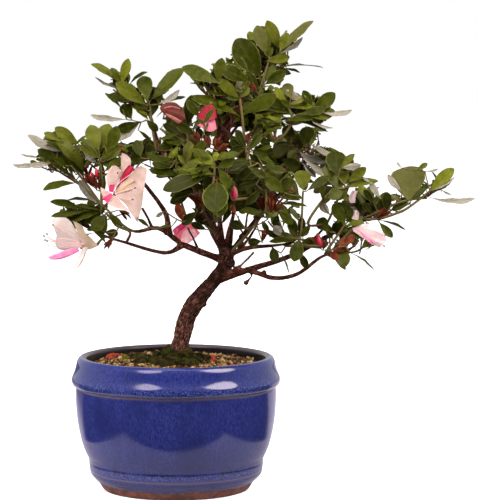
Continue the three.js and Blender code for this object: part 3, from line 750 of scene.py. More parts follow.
growth = {
    "crownCore": (50, 5, 265), "gap": 0.3, "hubDrop": 0.3, "stemPull": 0.45, "whorl": 9.0,
    "fanTop": 0.92, "fanSpan": 1.35, "fanOutward": 0.3, "spread": 0.62, "lift": 0.5, "lean": 0.3,
    "between": (0.46, 0.28, 0.56, 0.15),  # how far out the shoots between the main ones reach, ring by ring
    "rings": 3, "ringTurn": 2.1,
    "moreRings": {"centre": 2, "centre_right": 2, "front": 2, "front_left": 2, "inner_left": 2,
                  "crest_left": 1, "back_crest": 2, "back_low": 2, "back_left": 1},
    "uneven": (0.85, 0.3), "roots": (0.97, 0.66), "mainShoot": (0.9, 0.85, 1.0), "join": (0.985, 0.05),
    "greenStem": 1.05, "stem": (1.1, 0.9), "stemSteps": 12,
    # painted shade: fill leaves this near the crown's core take the next darker tone
    "shaded": 66.0,                  # leaves nearer than this to the crown's core are a tone darker
    "sideShoots": 2, "sideLength": (11, 17), "sideLeaf": 0.85, "sideRoots": (0.42, 0.16),
    "sideWay": (0.55, 0.9, 0.15), "sideShoot": (0.7, 0.65, 0.8), "sideSeed": 7919,
    "woodyShare": 0.6, "woodySteps": 6, "greenSteps": 5, "tipRoom": 1.5,
    "slack": 1.06,                   # how far past the reach a leaf's tip may stand
    "leafWidth": (0.31, 0.43), "fold": (0.12, 0.42), "bend": (0.0, 0.6), "twist": (-0.35, 0.35),
    "petiole": (0.66, 0.46), "shoot": (1.35, 1.0),
}

# The sprays that stand at the front, one shoot each at its own depth, drawn as the photo shows them: the
# shoot's line, then by tone each leaf's root, tip and the width it shows, in pixels, negative for undersides
# Besides the leaves' own greens, the tones paint light and shade: dark is painted shade on leaves deep in the
# crown, fresh is partly painted light on lit leaves
sprays = [
    {"mass": "left_wing", "depth": -22, "line": [(100, 203), (84, 181), (72, 166)], "leaves": {
        "deep": [(60, 164, 38, 150, 12)],
        "mid": [(46, 160, 13, 164.5, -4), (44, 158, 20, 154, -3), (51, 163, 29, 165, -6),
            (68, 152, 28, 135, -9), (74, 157, 46, 142, 6), (77, 173, 52, 153, 10), (76, 175, 62, 151, 8),
            (76, 180, 50, 163, 5), (77, 183, 43, 190, 7), (84, 179, 66, 152, 7), (102, 206, 79, 180, -9)],
        "fresh": [(88, 176, 56, 140, 13), (80, 145, 55, 127.5, 12), (62, 141, 44, 133, 7),
            (84, 178, 72, 147, 9)],
        "bronze": [(88, 182, 88, 162, 6)]}},
    {"mass": "left_shoulder", "depth": -50, "line": [(104, 206), (102, 180), (99, 153)], "leaves": {
        "mid": [(99, 156, 80, 139, 6), (101, 159, 80, 145, 9), (108, 154, 117, 126, 13),
            (99, 164, 123, 162, 11), (104, 199, 100, 161, 7), (97, 163, 85, 152, -8),
            (101, 160, 112, 148, 8), (103, 162, 120, 146, 10), (104, 172, 122, 158, 8)],
        "fresh": [(99, 152, 90, 125, 16), (99, 152, 109, 124, 17)],
        "young": [(107, 158, 105, 143, 3), (108, 158, 113, 149, 3), (109, 158, 119, 155, 3)],
        "bronze": [(95, 187, 92, 172, 6), (97, 190, 88, 176, 7), (100, 191, 98, 178, 7),
            (92, 186, 83, 173, 7)]}},
    {"mass": "left_low", "depth": -24, "line": [(130, 232), (118, 226), (106, 213)], "leaves": {
        "deep": [(97, 202, 66, 200.5, 3.5), (98, 228, 87, 230, 4), (102, 204, 88, 205, 2)],
        "mid": [(84, 210, 50, 202, 8), (88, 211, 51, 216.5, 6.5), (101, 211, 76, 205, 5),
            (107, 213, 82, 207, 6), (101, 213, 68, 222, 8), (106, 214, 92, 231, 13), (104, 215, 84, 224, 7),
            (108, 212, 122, 228, 8), (107, 216, 100, 236, 9), (106, 244, 92, 226, 6),
            (104, 232, 118, 234, 9)],
        "bronze": [(113, 240, 104, 249, 5), (112, 238, 108, 247, 4), (118, 210, 131, 219, 6)]}},
    {"mass": "upper_left", "depth": 2, "line": [(157, 150), (152, 125), (150, 105)], "leaves": {
        "deep": [(129, 85, 147.5, 72, 3), (137, 101, 107, 96, 9), (132, 120, 123, 104, 13),
            (141, 122, 115, 131, 10), (148, 111, 134, 96, 11), (160, 104, 185.5, 97, 4),
            (151, 118, 153, 99, 13), (146, 120, 158, 131, 8), (138, 130, 150, 142, 4),
            (165, 104, 185, 111, 3)],
        "mid": [(121, 83, 111, 68, 8), (126, 90, 95, 77, -2.5), (148, 101, 143, 76, 16),
            (150, 101, 184, 68.5, 14), (123, 110, 105, 93, 3), (127, 119.5, 90.5, 115, -5.5),
            (140, 122, 116, 140, -9), (158, 104, 179.5, 90, -6)],
        "fresh": [(121, 84, 91, 64, 7), (147, 106, 116, 82, 14), (158, 104, 161, 93, 6)],
        "young": [(121, 84, 128.5, 58.5, 10), (148, 104, 141, 92, 3), (147, 107, 139, 96, 3),
            (151, 118, 131, 106, 5), (149, 121, 136, 110, 4)]}},
    {"mass": "inner_left", "depth": -32, "line": [(190, 160), (188, 140), (188, 126)], "leaves": {
        "dark": [(188, 126, 192, 95, 13), (186, 140, 163, 124, 8), (157, 150, 145, 147, 9)],
        "deep": [(156, 141, 177, 134.5, 4), (190, 146, 165, 142, 6), (141, 158, 136, 140, 11),
            (151, 158, 131, 159, 9), (200, 118, 187, 100, 9), (172, 150, 158, 146, 6),
            (196, 135, 176, 124, 9), (206, 125, 212, 107, 5)]}},
    {"mass": "crest_left", "depth": -28, "line": [(243, 150), (243, 125), (240, 99)], "leaves": {
        "deep": [(237, 97, 207, 92, 8), (215, 88, 190, 83, 2.5), (250, 82, 221, 67, 15)],
        "mid": [(241, 117, 190, 97, 10), (242, 114, 276, 95, 15), (244, 91, 238, 79, -8),
            (221, 84, 182, 67, 14), (217, 83, 222, 58, 12), (240, 100, 226, 97, 5)],
        "fresh": [(240, 99, 218, 79, 11), (240, 98, 249, 87, 8)],
        "young": [(241, 92, 247.5, 76, 4)]}},
    {"mass": "crest", "depth": 0, "line": [(256, 100), (263, 80), (270, 58)], "leaves": {
        "deep": [(262, 79, 236, 39, 26), (272, 69, 323, 67.5, 3), (282, 69, 300, 72.5, 2.2),
            (264, 85, 286, 71, 11), (266, 84, 284, 79, 6), (262, 88, 247, 74, 7), (259, 93, 246, 71, 9)],
        "mid": [(264, 84, 276, 64, 7), (268, 60, 272, 47, 5), (252, 77, 219, 61, -4),
            (250, 73, 234, 56.5, -10)],
        "fresh": [(265, 54, 257, 25.5, -14), (267, 56, 263, 32, 15), (281, 51, 267, 20.5, 13),
            (280, 52, 288, 33, 11), (280, 51, 313.5, 21, -10), (279, 54, 302.5, 37, -5),
            (283, 37, 287, 30, -3), (266, 61, 289.5, 57.5, 9)],
        "bronze": [(257, 92, 248, 83, 5)]}},
    {"mass": "upper_right", "depth": -8, "line": [(278, 140), (292, 122), (288, 107)], "leaves": {
        "deep": [(313, 107, 303, 90.5, 9), (300, 114, 326, 109, 9), (297, 115, 261, 107, 9),
            (303, 123, 327, 131.5, 4), (287, 109, 268, 98, 10)],
        "mid": [(291, 99, 286, 83.5, -12), (303, 101, 286, 90, -7), (312, 113, 335, 93, 14),
            (320, 112, 352, 110, -4.5), (282, 122, 315, 118, 7), (308, 118, 332.5, 128, -3),
            (292, 108, 281, 100, 5)],
        "fresh": [(308, 117, 332, 116, 8)],
        "young": [(288, 109, 275, 87, 9), (287, 108, 316.5, 105, 8.5), (289, 105, 306, 96, -7)]}},
    {"mass": "right_droop", "depth": 22, "line": [(288, 168), (296, 151)], "leaves": {
        "deep": [(303, 147, 309, 126.5, 15), (291, 143, 275, 144.5, 3), (283, 159, 300, 168, 12),
            (297, 150, 306, 140, 5)],
        "mid": [(309, 143, 333.5, 156, -6), (292, 125, 284, 138, -13), (291, 147, 273, 151, -15),
            (297, 149, 288, 160, 9), (298, 150.5, 328, 161, -5.5), (299, 152, 331, 178, -5.5),
            (302, 162, 316, 177, -4.5)]}},
    {"mass": "centre", "depth": -52, "line": [(247, 160), (250, 145)], "leaves": {
        "dark": [(243, 149, 230, 140, 8), (246, 150, 236, 130, 8), (250, 140, 262, 124, 7),
            (246, 146, 230, 152, 8)],
        "deep": [(262, 164, 286, 172, 6), (248, 152, 262, 133, 8), (252, 150, 268, 155, 8),
            (262, 130, 275, 121, 4)],
        "mid": [(258, 141, 282, 127, 4), (256, 152, 272, 146, 5)]}},
    {"mass": "front", "depth": -84, "line": [(213, 196), (215, 165)], "leaves": {
        "dark": [(209, 176, 163, 190, 15)],
        "deep": [(217, 180, 214, 213, 26), (218, 190, 220, 217.5, 17), (215, 166, 205, 188, 9),
            (214, 165, 197, 170, 6)],
        "mid": [(216, 161, 190, 150, 7), (217, 160, 239, 153.5, 6.5), (216, 168, 234, 160, 9),
            (218, 167, 230, 188, 9)],
        "fresh": [(216, 160, 226, 152, 5)],
        "young": [(214, 169, 205, 155, 10), (214, 161, 217, 152, 7)]}},
    {"mass": "front_left", "depth": -62, "line": [(196, 200), (187, 169)], "leaves": {
        "dark": [(197, 211, 182, 224.5, 10), (192, 192, 170, 203, 11), (200, 190, 170, 196, 10),
            (205, 196, 196, 214, 8)],
        "deep": [(187, 169, 147, 156, 8), (182, 176, 150, 171, 9), (150, 228, 138, 219, 4),
            (170, 168, 152, 163, 7), (176, 160, 160, 165, 6)],
        "mid": [(186, 166, 190, 141, -11), (192, 153, 205.5, 142, 7), (165, 211, 156, 217, -4),
            (172, 226, 159, 228, 3), (196, 214, 203, 209, -4)],
        "fresh": [(187, 166, 194, 144, 5)],
        "young": [(186, 166, 178, 155, 4.5)],
        "bronze": [(183, 222, 177, 203, 9), (190, 194, 205, 211, 7)]}},
    {"mass": "centre_right", "depth": -58, "line": [(268, 216), (266, 190)], "leaves": {
        "dark": [(250, 161, 222, 170, 9), (258, 163, 238, 180, 8), (256, 184, 236, 190, 7),
            (262, 190, 246, 204, 8), (246, 229, 231, 223, 10), (262, 241, 248, 243, 9)],
        "deep": [(248, 167, 266, 178, 7), (278, 204, 307, 206.5, 4), (300, 196, 283, 179, 15)],
        "mid": [(285, 193, 265, 178, 13), (264, 171, 279, 182, 9), (268, 219, 240, 210, 7),
            (277, 210, 293, 224, 9), (303, 199, 280, 191, 9)],
        "bronze": [(272, 213, 274, 192, 5), (273, 212, 281, 194, 5), (274, 213, 284, 203, 4),
            (271, 214, 268, 196, 5), (236, 214, 230, 205, 5), (262, 243, 266, 228, 6)]}},
    {"mass": "right_inner", "depth": -36, "line": [(290, 246), (300, 238), (303, 192)], "leaves": {
        "dark": [(301, 238, 302, 217, 8), (299, 251, 307, 268.5, 8), (272, 247, 276, 262.5, 10),
            (302, 240, 314, 243, 6)],
        "deep": [(307, 191, 329, 176, 9), (300, 223, 290, 207.5, 5), (297, 237, 291, 222, 9),
            (295, 238, 281, 233, 5), (300, 238, 294, 261.5, 14), (281, 253, 289, 273, 1.6),
            (300, 236, 310, 226, 6)],
        "mid": [(283, 237, 274, 226, -9), (300, 240, 269, 242, 7)],
        "fresh": [(303, 191, 302, 170.5, 17)]}},
    {"mass": "right_shoulder", "depth": -34, "line": [(308, 224), (322, 201), (334, 190), (345, 188)],
     "leaves": {
        "deep": [(338, 177, 335, 151.5, 21), (323, 204, 321, 182, 5)],
        "mid": [(341, 168, 361, 165, -7), (372, 183, 363, 177, -2.5), (346, 193, 322, 168, 10),
            (345, 188, 328, 198, 12), (381, 199, 370, 182, -7), (330, 215, 320, 203, -8),
            (350, 186, 336, 200, 9)],
        "fresh": [(340, 169, 354.5, 154, 7), (347, 183, 366, 167.5, 10), (345, 185, 342, 171, 13),
            (340, 190, 378.5, 181, 7)]}},
    {"mass": "right_low", "depth": -24, "line": [(326, 252), (340, 232), (346, 223)], "leaves": {
        "deep": [(347, 226, 332, 230, 13), (347, 223, 352, 208, 7), (351, 253, 374, 270, 2.5),
            (346, 228, 354, 230, 6), (334, 232, 322, 225, 8), (333, 240, 327, 228, 6)],
        "mid": [(346, 225, 333, 204, 12), (352, 212, 337, 203, 7), (342, 246, 345, 267, 13),
            (340, 246, 346, 238, 5), (330, 232, 318, 219, 13)],
        "fresh": [(345, 226, 364, 222.5, 6)],
        "bronze": [(330, 252, 349, 258, 8), (331, 250, 347, 247, 8), (330, 251, 338, 260, 8),
            (338, 247, 347, 238, 8), (345, 246, 354, 234.5, 8), (322, 250, 312, 237, 8),
            (323, 250, 327, 239, 7)]}},
    {"mass": "right_arm", "depth": -8, "line": [(366, 220), (377, 219)], "leaves": {
        "dark": [(366, 209, 357, 192, 6), (374, 204, 364, 189.5, 7), (387, 211, 387, 192, 10),
            (372, 214, 363, 203, 7), (376, 216, 370, 205, 8)],
        "deep": [(390, 206, 370, 199, 7), (378, 212, 381, 201, 6), (380, 220, 405.5, 230, 2.2),
            (362, 214, 358, 205, 6)],
        "mid": [(379, 222, 392.5, 237.5, 8), (365, 221, 375, 232.5, -5.5), (362, 216, 350, 207, -6)],
        "bronze": [(377, 219, 391, 208, 6.5)]}},
    {"mass": "right_tip", "depth": -6, "line": [(377, 219), (400, 212), (412, 205), (430, 191)], "leaves": {
        "deep": [(421, 192, 427.5, 184, 5.5), (411, 201, 426, 188, 6), (410, 204, 391, 210, 6)],
        "mid": [(409, 203, 408, 166.5, -35), (402, 192, 388, 174.5, -7), (402, 168, 397, 162, -1.8),
            (425, 171.5, 438, 168.5, -2), (432, 190.5, 454.5, 177, -3.5), (428, 197, 475, 198.5, -4),
            (441, 189.5, 451, 194.5, -2)],
        "fresh": [(417, 169.5, 427.5, 163.5, 5.5)],
        "young": [(429, 192, 454, 168.5, 12), (404, 201, 391, 196, -5), (401, 200, 392, 206.5, -2.5)]}},
    {"mass": "centre", "depth": -30, "line": [(247, 154), (246, 149)], "leaves": {
        "deep": [(248, 152, 262, 168, 8), (249, 153, 243, 170, 7), (243, 148, 230, 136, 7),
            (244, 151, 228, 158, 6), (258, 163, 228, 169, 9), (262, 173, 240, 181, 8),
            (263, 166, 282, 173, 6)],
        "mid": [(249, 146, 281, 125, 5), (250, 145, 274, 142, 4), (250, 152, 274, 165, 5),
            (246, 158, 232, 164, 6)],
        "bronze": [(247, 146, 252, 131, 5)]}},
    {"mass": "centre_right", "depth": -44, "line": [(262, 200), (263, 210)], "leaves": {
        "dark": [(262, 209, 243, 200, 9), (258, 168, 226, 172, 8), (262, 178, 234, 176, 8),
            (248, 200, 240, 186, 6)],
        "deep": [(240, 190, 262, 183, 8), (262, 186, 268, 200, 6)],
        "mid": [(262, 218, 238, 206, 5), (300, 200, 280, 192, 8), (236, 197, 252, 190, 6)],
        "bronze": [(264, 212, 263, 191, 6), (268, 212, 276, 190, 6), (262, 212, 258, 198, 5)]}},
    {"mass": "right_inner", "depth": -14, "line": [(233, 251), (246, 236), (257, 221)], "leaves": {
        "mid": [(246, 228, 230, 224, 6), (270, 237, 262, 221, 6), (258, 230, 283, 240, 6),
            (270, 233, 292, 237, 4)]}},
    {"mass": "crest_left", "depth": -46, "line": [(206, 128), (204, 126)], "leaves": {
        "deep": [(203.5, 125, 213.5, 109.5, 5.5), (206, 127, 198, 119, 4)],
        "bronze": [(200, 143, 193, 131, 6), (210, 148, 205, 135, 7), (214, 149, 221, 137, 7),
            (218, 151, 229, 144, 6)]}},
    {"mass": "centre", "depth": -12, "line": [(244, 160), (246, 152)], "leaves": {
        "dark": [(250, 146, 240, 160, 9), (252, 150, 263, 160, 9), (256, 147, 272, 151, 8),
            (246, 160, 258, 171, 9), (262, 156, 276, 163, 8), (240, 146, 229, 158, 8),
            (258, 137, 270, 146, 8), (244, 141, 236, 130, 7), (236, 150, 222, 141, 7),
            (230, 154, 219, 147, 6), (248, 158, 234, 152, 7), (250, 160, 238, 156, 6),
            (254, 158, 269, 164, 6), (252, 151, 264, 146, 6), (262, 152, 256, 165, 6),
            (206, 140, 196, 128, 7), (204, 139, 211, 127, 6)]}},
    {"mass": "front_left", "depth": -8, "line": [(216, 232), (205, 225)], "leaves": {
        "dark": [(210, 226, 194, 215, 9), (207, 230, 191, 223, 7), (213, 221, 198, 208, 9),
            (215, 214, 203, 202, 8), (222, 223, 231, 208, 6), (232, 212, 245, 205, 6)],
        "bronze": [(203, 221, 192, 208, 6)]}},
]

# Blossom: for each petal its tone, how far its throat and its rim stand back, how far its middle does,
# and the lines in the photo, from throat to rim, that it is spanned between
flowers = [
    {"mass": "left_shoulder", "depth": -62, "calyx": (114, 195), "petals": [
        ("shell", 0, -7, -3, [[(115, 192), (121, 184), (128, 178), (134, 169), (141, 166)],
         [(115.5, 193.5), (128, 184), (140, 174), (147, 170)],
         [(116, 194), (128, 193), (138, 190), (144, 188)],
         [(116, 195), (124, 197.5), (133, 201), (142, 205)],
         [(116, 195.5), (120, 199.5), (126, 205), (129.5, 211), (137.5, 222.5)]]),
        ("shell", -1.5, -6, -2, [[(112, 194), (106, 190), (100.5, 187)],
         [(113, 195), (107, 196), (101.5, 193.5)], [(114, 195.5), (110, 200), (107, 203)],
         [(116, 196), (115, 202), (115, 207.5)], [(117, 196.5), (122, 203), (129.5, 211)]]),
        ("rose", -3.6, -9, -1, [[(111.5, 193), (106, 196), (101.5, 197.5)],
         [(113, 195.5), (110.5, 199), (107.5, 203.5)]]),
        ("shell", -1, 2, -2, [[(110, 192), (107, 183), (107, 173), (112, 166)],
         [(112, 191), (112, 182), (114, 172), (115.5, 165.5)],
         [(114, 190), (118, 182), (121.5, 174), (119, 168)]]),
        ("rose", -2.6, -3.4, -1, [[(109, 191.5), (109, 187), (110, 184.5)],
         [(113.5, 192.5), (114, 188), (115, 184.5)]]),
        ("shell", 3, 5, 0, [[(119, 183), (121, 170), (121, 158), (122, 153)],
         [(121, 183), (126, 170), (128, 160), (126, 154.5)],
         [(123, 183), (128, 172), (131, 163), (130, 158)]]),
        ("crimson", -1, -4.5, -1, [[(117, 184.5), (121, 178), (124, 171), (129, 165)],
         [(118, 184.5), (124, 179), (129, 174), (133, 167)],
         [(118.5, 185), (126, 180), (131.5, 177), (134.5, 169)]]),
        ("tan", -0.3, -4.3, -0.9, [[(115, 192.5), (121, 186), (126, 181), (130.5, 178)],
         [(115.5, 193.5), (122, 189), (129, 184.5), (135, 182)], [(116, 194.5), (123, 192), (131, 190)]])]},
    {"mass": "left_low", "depth": -30, "calyx": (97, 245), "petals": [
        ("white", -4, -4, -6, [[(82, 240), (76, 230), (71, 222), (66, 217.5)],
         [(82, 241), (72, 231), (62, 222), (52.5, 218)], [(82, 242), (71, 236), (61, 231), (53, 226)],
         [(82, 243), (70, 240), (60, 238), (56.5, 235.5)], [(82, 245), (70, 246), (60, 246), (55, 243)],
         [(82, 247), (72, 250), (62, 250), (57.5, 248.5)]]),
        # cream: the funnel's outer side, its creamy tone deepened as painted shade
        ("cream", 0, -3, -4, [[(97, 246.5), (91, 249), (85, 250), (80, 249)],
         [(97, 245), (90, 243), (83, 240), (79, 238)], [(97, 244.5), (90, 239), (83, 232), (76, 228)],
         [(97, 244), (91, 238), (84.5, 231.5), (82, 225.5), (72.5, 220.5)]]),
        ("pink", -5, -8, -2, [[(78, 248), (68, 249), (55, 254), (47.2, 257)],
         [(79, 250), (68, 253), (58, 256.5), (50, 259)], [(80, 251), (70, 256), (60, 259.3), (49, 259.6)]]),
        ("white", -6, -10, -2, [[(84, 247), (78, 256), (74, 266), (75.5, 268.5)],
         [(86, 247), (82, 258), (77, 268.5)], [(88, 247.5), (85, 256), (81, 264), (77, 268.5)]])]},
    {"mass": "right_low", "depth": -26, "calyx": (352, 229), "petals": [
        ("blush", 0, -5, -4, [[(352, 228), (361, 224.5), (370, 224), (378, 229)],
         [(352.5, 229), (363, 229), (374, 231), (384.5, 235)],
         [(353, 230), (364, 233), (376, 238), (386.5, 241)],
         [(353, 231), (363, 238), (371, 243.5), (379, 247.5)]]),
        ("pink", -4.6, -7.2, -1, [[(360, 231.5), (367, 236.5), (373.5, 241.5)],
         [(361, 234), (367, 240.5), (372, 245)]]),
        ("rose", -5.6, -7.8, 0, [[(366, 237.5), (370, 240.5), (373, 242.8)],
         [(366, 238.5), (369.5, 241.5), (372.5, 243.8)]]),
        ("white", -3, -4, 0, [[(361, 226.5), (369, 226), (376, 229)],
         [(361, 228.5), (370, 229.5), (380, 233)]]),
        ("blush", 14, 14, 0, [[(350, 203), (349, 197), (352, 190.5)],
         [(355, 203), (356, 196), (358, 191)]]),
        ("blush", 12, 12, 0, [[(352, 219), (352, 214), (353, 209.5)],
         [(358, 220), (359, 215), (358.5, 211)]])]},
    {"mass": "front_left", "depth": -6, "calyx": (188, 224), "petals": [
        ("coral", 0, -5, -3, [[(183, 222), (177, 226), (172.5, 230)], [(186, 223), (180, 232), (176, 238)],
         [(188, 223), (185, 234), (183, 242)], [(190, 223), (191, 234), (190, 242.5)],
         [(193, 222), (197, 229), (200.5, 233)]]),
        ("rose", -1.2, -4.6, -1, [[(182, 224), (176.5, 227), (172.8, 230)],
         [(187, 225), (181.5, 232), (178, 238.5)]]),
        ("coralPale", -3, -6.4, -3, [[(180, 234), (178.5, 236.5), (178.3, 239)],
         [(184, 231), (183.5, 237), (183.2, 242)], [(189, 230), (190, 236), (189.8, 242.3)],
         [(194, 229), (196, 232), (198, 236)]])]},
    {"mass": "inner_left", "depth": -34, "calyx": (161, 108), "petals": [
        ("faded", 0, -4, -3, [[(160, 107), (167, 102.5), (175, 102.5), (180, 106)],
         [(160, 108.5), (168, 107), (177, 109), (184, 112)],
         [(160.5, 110), (168, 112), (177, 115), (184.5, 119)],
         [(161, 111), (166, 116), (173, 121), (180, 125)]]),
        ("fadedPale", -2, -5, -1, [[(164, 107.5), (172, 105.5), (180, 107.5)],
         [(164, 108.8), (172, 108), (181, 110.5)]]),
        ("fadedPale", -2.4, -6.4, -1, [[(166, 113), (174, 116.5), (182, 121)],
         [(165, 114.6), (172, 119), (179, 124)]]),
        ("scarlet", -2.4, -5.6, 0, [[(166, 110), (175, 112), (183.5, 115.5)],
         [(166, 110.8), (175, 113.4), (183.5, 117.5)]])]},
    {"mass": "crest_left", "depth": -36, "calyx": (211, 103), "petals": [
        ("scarlet", 0, -4, -2, [[(209, 104), (202, 109), (196.5, 117)],
         [(210, 105), (206, 113), (202, 121)], [(211, 105), (211, 113), (211, 120)],
         [(211.5, 104), (215.5, 110), (217, 118)]]),
        ("salmon", -3, -7, -2, [[(206, 119), (202, 122), (197.5, 125)],
         [(208, 119), (206, 126), (206, 130.5)], [(211, 119), (212, 126), (212, 131.5)],
         [(214, 118), (216, 124), (216.5, 129)]]),
        ("crimson", -1.5, -3.6, 0, [[(205, 110), (203, 114), (201, 118)],
         [(208, 108), (206.5, 113), (205, 118)]])]},
]
# Buds: mass, depth, foot, tip and width in the photo, tone
buds = [
    ("left_shoulder", -52, (98, 178), (96, 168), 5, "crimson"),
    ("left_shoulder", -52, (94, 180), (91, 172), 4, "crimson"),
    ("left_shoulder", -48, (117, 154), (122, 145), 4, "crimson"),
    ("centre_right", -62, (234, 200.5), (234, 186), 8.5, "fadedPale"),
    ("centre_right", -64, (234, 199.5), (234, 188), 5, "crimson"),
    ("centre_right", -62, (292, 192), (292, 187), 3, "faded"),
    ("right_inner", -42, (321, 248), (317, 233), 7, "faded"),
    ("right_inner", -46, (320.5, 246), (318, 236), 4, "crimson"),
]
# Stamens: depth and line in the photo, from the throat outward
stamens = [
    (-46, [(84, 243), (78, 243), (60, 242), (44, 236)]),
    (-46, [(84, 244), (77, 246), (50, 246), (47, 241)]),
    (-46, [(80, 242), (62, 239), (53, 241), (47, 234)]),
    (-42, [(84, 242), (70, 231), (60, 229), (53, 225)]),
    (-46, [(84, 244), (66, 244), (45, 240)]),
    (-74, [(115, 194), (118, 184), (131, 174), (134, 170)]),
    (-78, [(115, 194), (124, 199), (132.5, 199.5)]),
    (-76, [(115, 194), (126, 190), (135, 188)]),
    (-72, [(115, 193), (117, 182), (117.5, 173)]),
    (-34, [(358, 230), (370, 238), (384, 246)]),
]
# Parts of the crown that are full in the photo, in millimetres: x and z of each middle, half width and half
# height
fullParts = [
    (48, 289, 56, 50), (-58, 285, 20, 28), (-92, 287, 20, 18), (64, 356, 34, 24), (-30, 334, 18, 15),
    (10, 315, 18, 16), (111, 332, 21, 10), (141, 263, 15, 21), (146, 237, 17, 17), (74, 384, 16, 18),
    (74, 246, 30, 17), (-82, 240, 21, 9), (17, 250, 24, 24),
]
# Parts where the wood inside shows: the same, and how far back leaves must stand
bareParts = [(50, 318, 20, 17, 14), (58, 226, 24, 15, 16), (32, 300, 11, 8, 0)]
cameraPlace = Vector(cameraSet["place"]) / mm
photo = {"width": 478, "height": 500}
photoSight = cameraSet["lens"] / cameraSet["sensor"] * photo["height"]
tones = ("dark", "deep", "mid", "fresh", "dull", "young", "bronze", "bud")
leaves = {"front": {tone: [] for tone in tones}, "fill": {tone: [] for tone in tones}}
petalTones = ("white", "shell", "cream", "coral", "coralPale", "blush", "pink", "rose", "crimson", "scarlet",
              "salmon", "faded", "fadedPale", "tan")
petals = {tone: [] for tone in petalTones}
budLines = {tone: [] for tone in petalTones}
woodyTwigs, greenTwigs = [], []
seenSpots = []


# The place at a depth behind the pot's axis that the photo shows at a pixel
def fromPhoto(spot, depth):
    tilt = math.radians(cameraSet["pitch"])
    rise = (photo["height"] / 2 - spot[1]) / photoSight
    run = Vector(((spot[0] - photo["width"] / 2) / photoSight, math.cos(tilt) + rise * math.sin(tilt),
                  rise * math.cos(tilt) - math.sin(tilt)))
    return cameraPlace + run * ((depth - cameraPlace.y) / run.y)


# How wide a pixel is at a depth
def pixelAt(depth):
    return (depth - cameraPlace.y) / photoSight


# Where a point falls on the upright plane through the pot's axis, as the camera sees it
def onPlane(point):
    scale = -cameraPlace.y / (point.y - cameraPlace.y)
    flat = cameraPlace + (point - cameraPlace) * scale
    return flat.x, flat.z


def moveDeeper(point, change):
    return cameraPlace + (point - cameraPlace) * (1 + change / (point.y - cameraPlace.y))


# One leaf: where it roots, the way it points, its upper face, its length and its form
def addLeaf(rows, root, along, face, length, width, seed, bend=None, twist=None):
    rows.append((
        *root, *along, *face, length, width, between(seed, 2, *growth["fold"]),
        between(seed, 3, *growth["bend"]) if bend is None else bend,
        between(seed, 4, *growth["twist"]) if twist is None else twist, draw(seed, 5) * nearTurn))


seenSet = {
    "slim": 0.36, "short": 1.9, "long": 40.0, "droops": 0.3, "bend": (0.1, 0.6), "twist": (-0.2, 0.2),
    "steep": 6, "steepBend": 0.5, "spots": (0.15, 0.35, 0.55, 0.75, 0.92), "spotForm": (1.25, 0.7),
}


# A spot that the front sprays or the blossom cover, as the camera sees it
def noteSpot(spot, radius):
    seenSpots.append((*onPlane(spot), spot.y, radius))


# A leaf drawn back into space from how it shows: broad ones face the camera, slim ones turn their edge to it
def addSeen(rows, root, end, wide, seed):
    shows = 1 if wide > 0 else -1
    wide = abs(wide)
    seen = (end - root).length
    full = max(seen, min(seenSet["short"] * wide, seenSet["long"]))
    rises = end.z > root.z - seenSet["droops"] * seen
    away = math.sqrt(full * full - seen * seen) * (1 if rises else -1) if shows > 0 else 0.0
    end = moveDeeper(end, away)
    along = end - root
    length = along.length
    along.normalize()
    sight = (cameraPlace - root).normalized()
    opened = (sight - along * sight.dot(along)).normalized()
    across = along.cross(opened)
    width = max(wide, seenSet["slim"] * length)
    tilt = math.acos(wide / width)
    lean = shows if across.z > 0 else -shows    # the side that shows is turned up to the light
    face = opened * shows * math.cos(tilt) + across * lean * math.sin(tilt)
    bend = between(seed, 3, *seenSet["bend"]) * (seenSet["steepBend"] if away > seenSet["steep"] else 1)
    half = bend / 2
    first = along * math.cos(half) + face * math.sin(half)
    raised = face * math.cos(half) - along * math.sin(half)
    twist = between(seed, 4, *seenSet["twist"])
    addLeaf(rows, root, first, raised, length * half / math.sin(half), width, seed, bend, twist)
    fullness, roundness = seenSet["spotForm"]
    for share in seenSet["spots"]:
        spot = root.lerp(end, share)
        noteSpot(spot, wide / 2 * math.sin(math.pi * share ** fullness) ** roundness)


def addTwig(curve, radii, count, green):
    line = [(curve(i / count), radiusAt(radii, i / count)) for i in range(count + 1)]
    (greenTwigs if green else woodyTwigs).append(line)
    return [point for point, _ in line]


# The stem of a mass, from its bough's tip up to the hub where its shoots part
def massStem(name):
    bough, centre, reach, _, _ = massTable[name]
    curve = limbs[bough][0]
    heading = headingAt(curve, 1)
    start = curve(1) + heading * growth["gap"]
    hub = Vector(centre) - up * growth["hubDrop"] * reach[2]
    return archCurve(start, start + heading * growth["stemPull"] * (hub - start).length, hub)


stems = {name: massStem(name) for name in massTable}
greenStart = {"overlap": 0.02, "slimmer": 0.92, "steps": 16}
for name, (end, radii) in barkEnds.items():
    start = end - greenStart["overlap"]
    addTwig(lambda share: limbs[name][0](start + (1 - start) * share),
            (radii[-1] * greenStart["slimmer"], growth["greenStem"]), greenStart["steps"], True)
stalkSet = {"least": 0.9, "step": 3, "sag": 0.1}


# Each leaf of a spray hangs on by a stalk to the nearest wood laid so far
def joinStalk(nodes, root):
    nearest = min(nodes, key=lambda node: (node - root).length)
    gap = (nearest - root).length
    if gap < stalkSet["least"]:
        return
    stalk = archCurve(nearest, nearest.lerp(root, 0.5) - up * stalkSet["sag"] * gap, root)
    nodes += addTwig(stalk, growth["petiole"], max(3, int(gap / stalkSet["step"])), True)


# Turn, length and nearness of the scales round a bud
bractSet = {"scales": ((0, 1, 0), (0.3, 0.8, -1.2), (-0.26, 0.86, 1.0), (0.12, 0.7, -2.0)), "slim": 0.42}


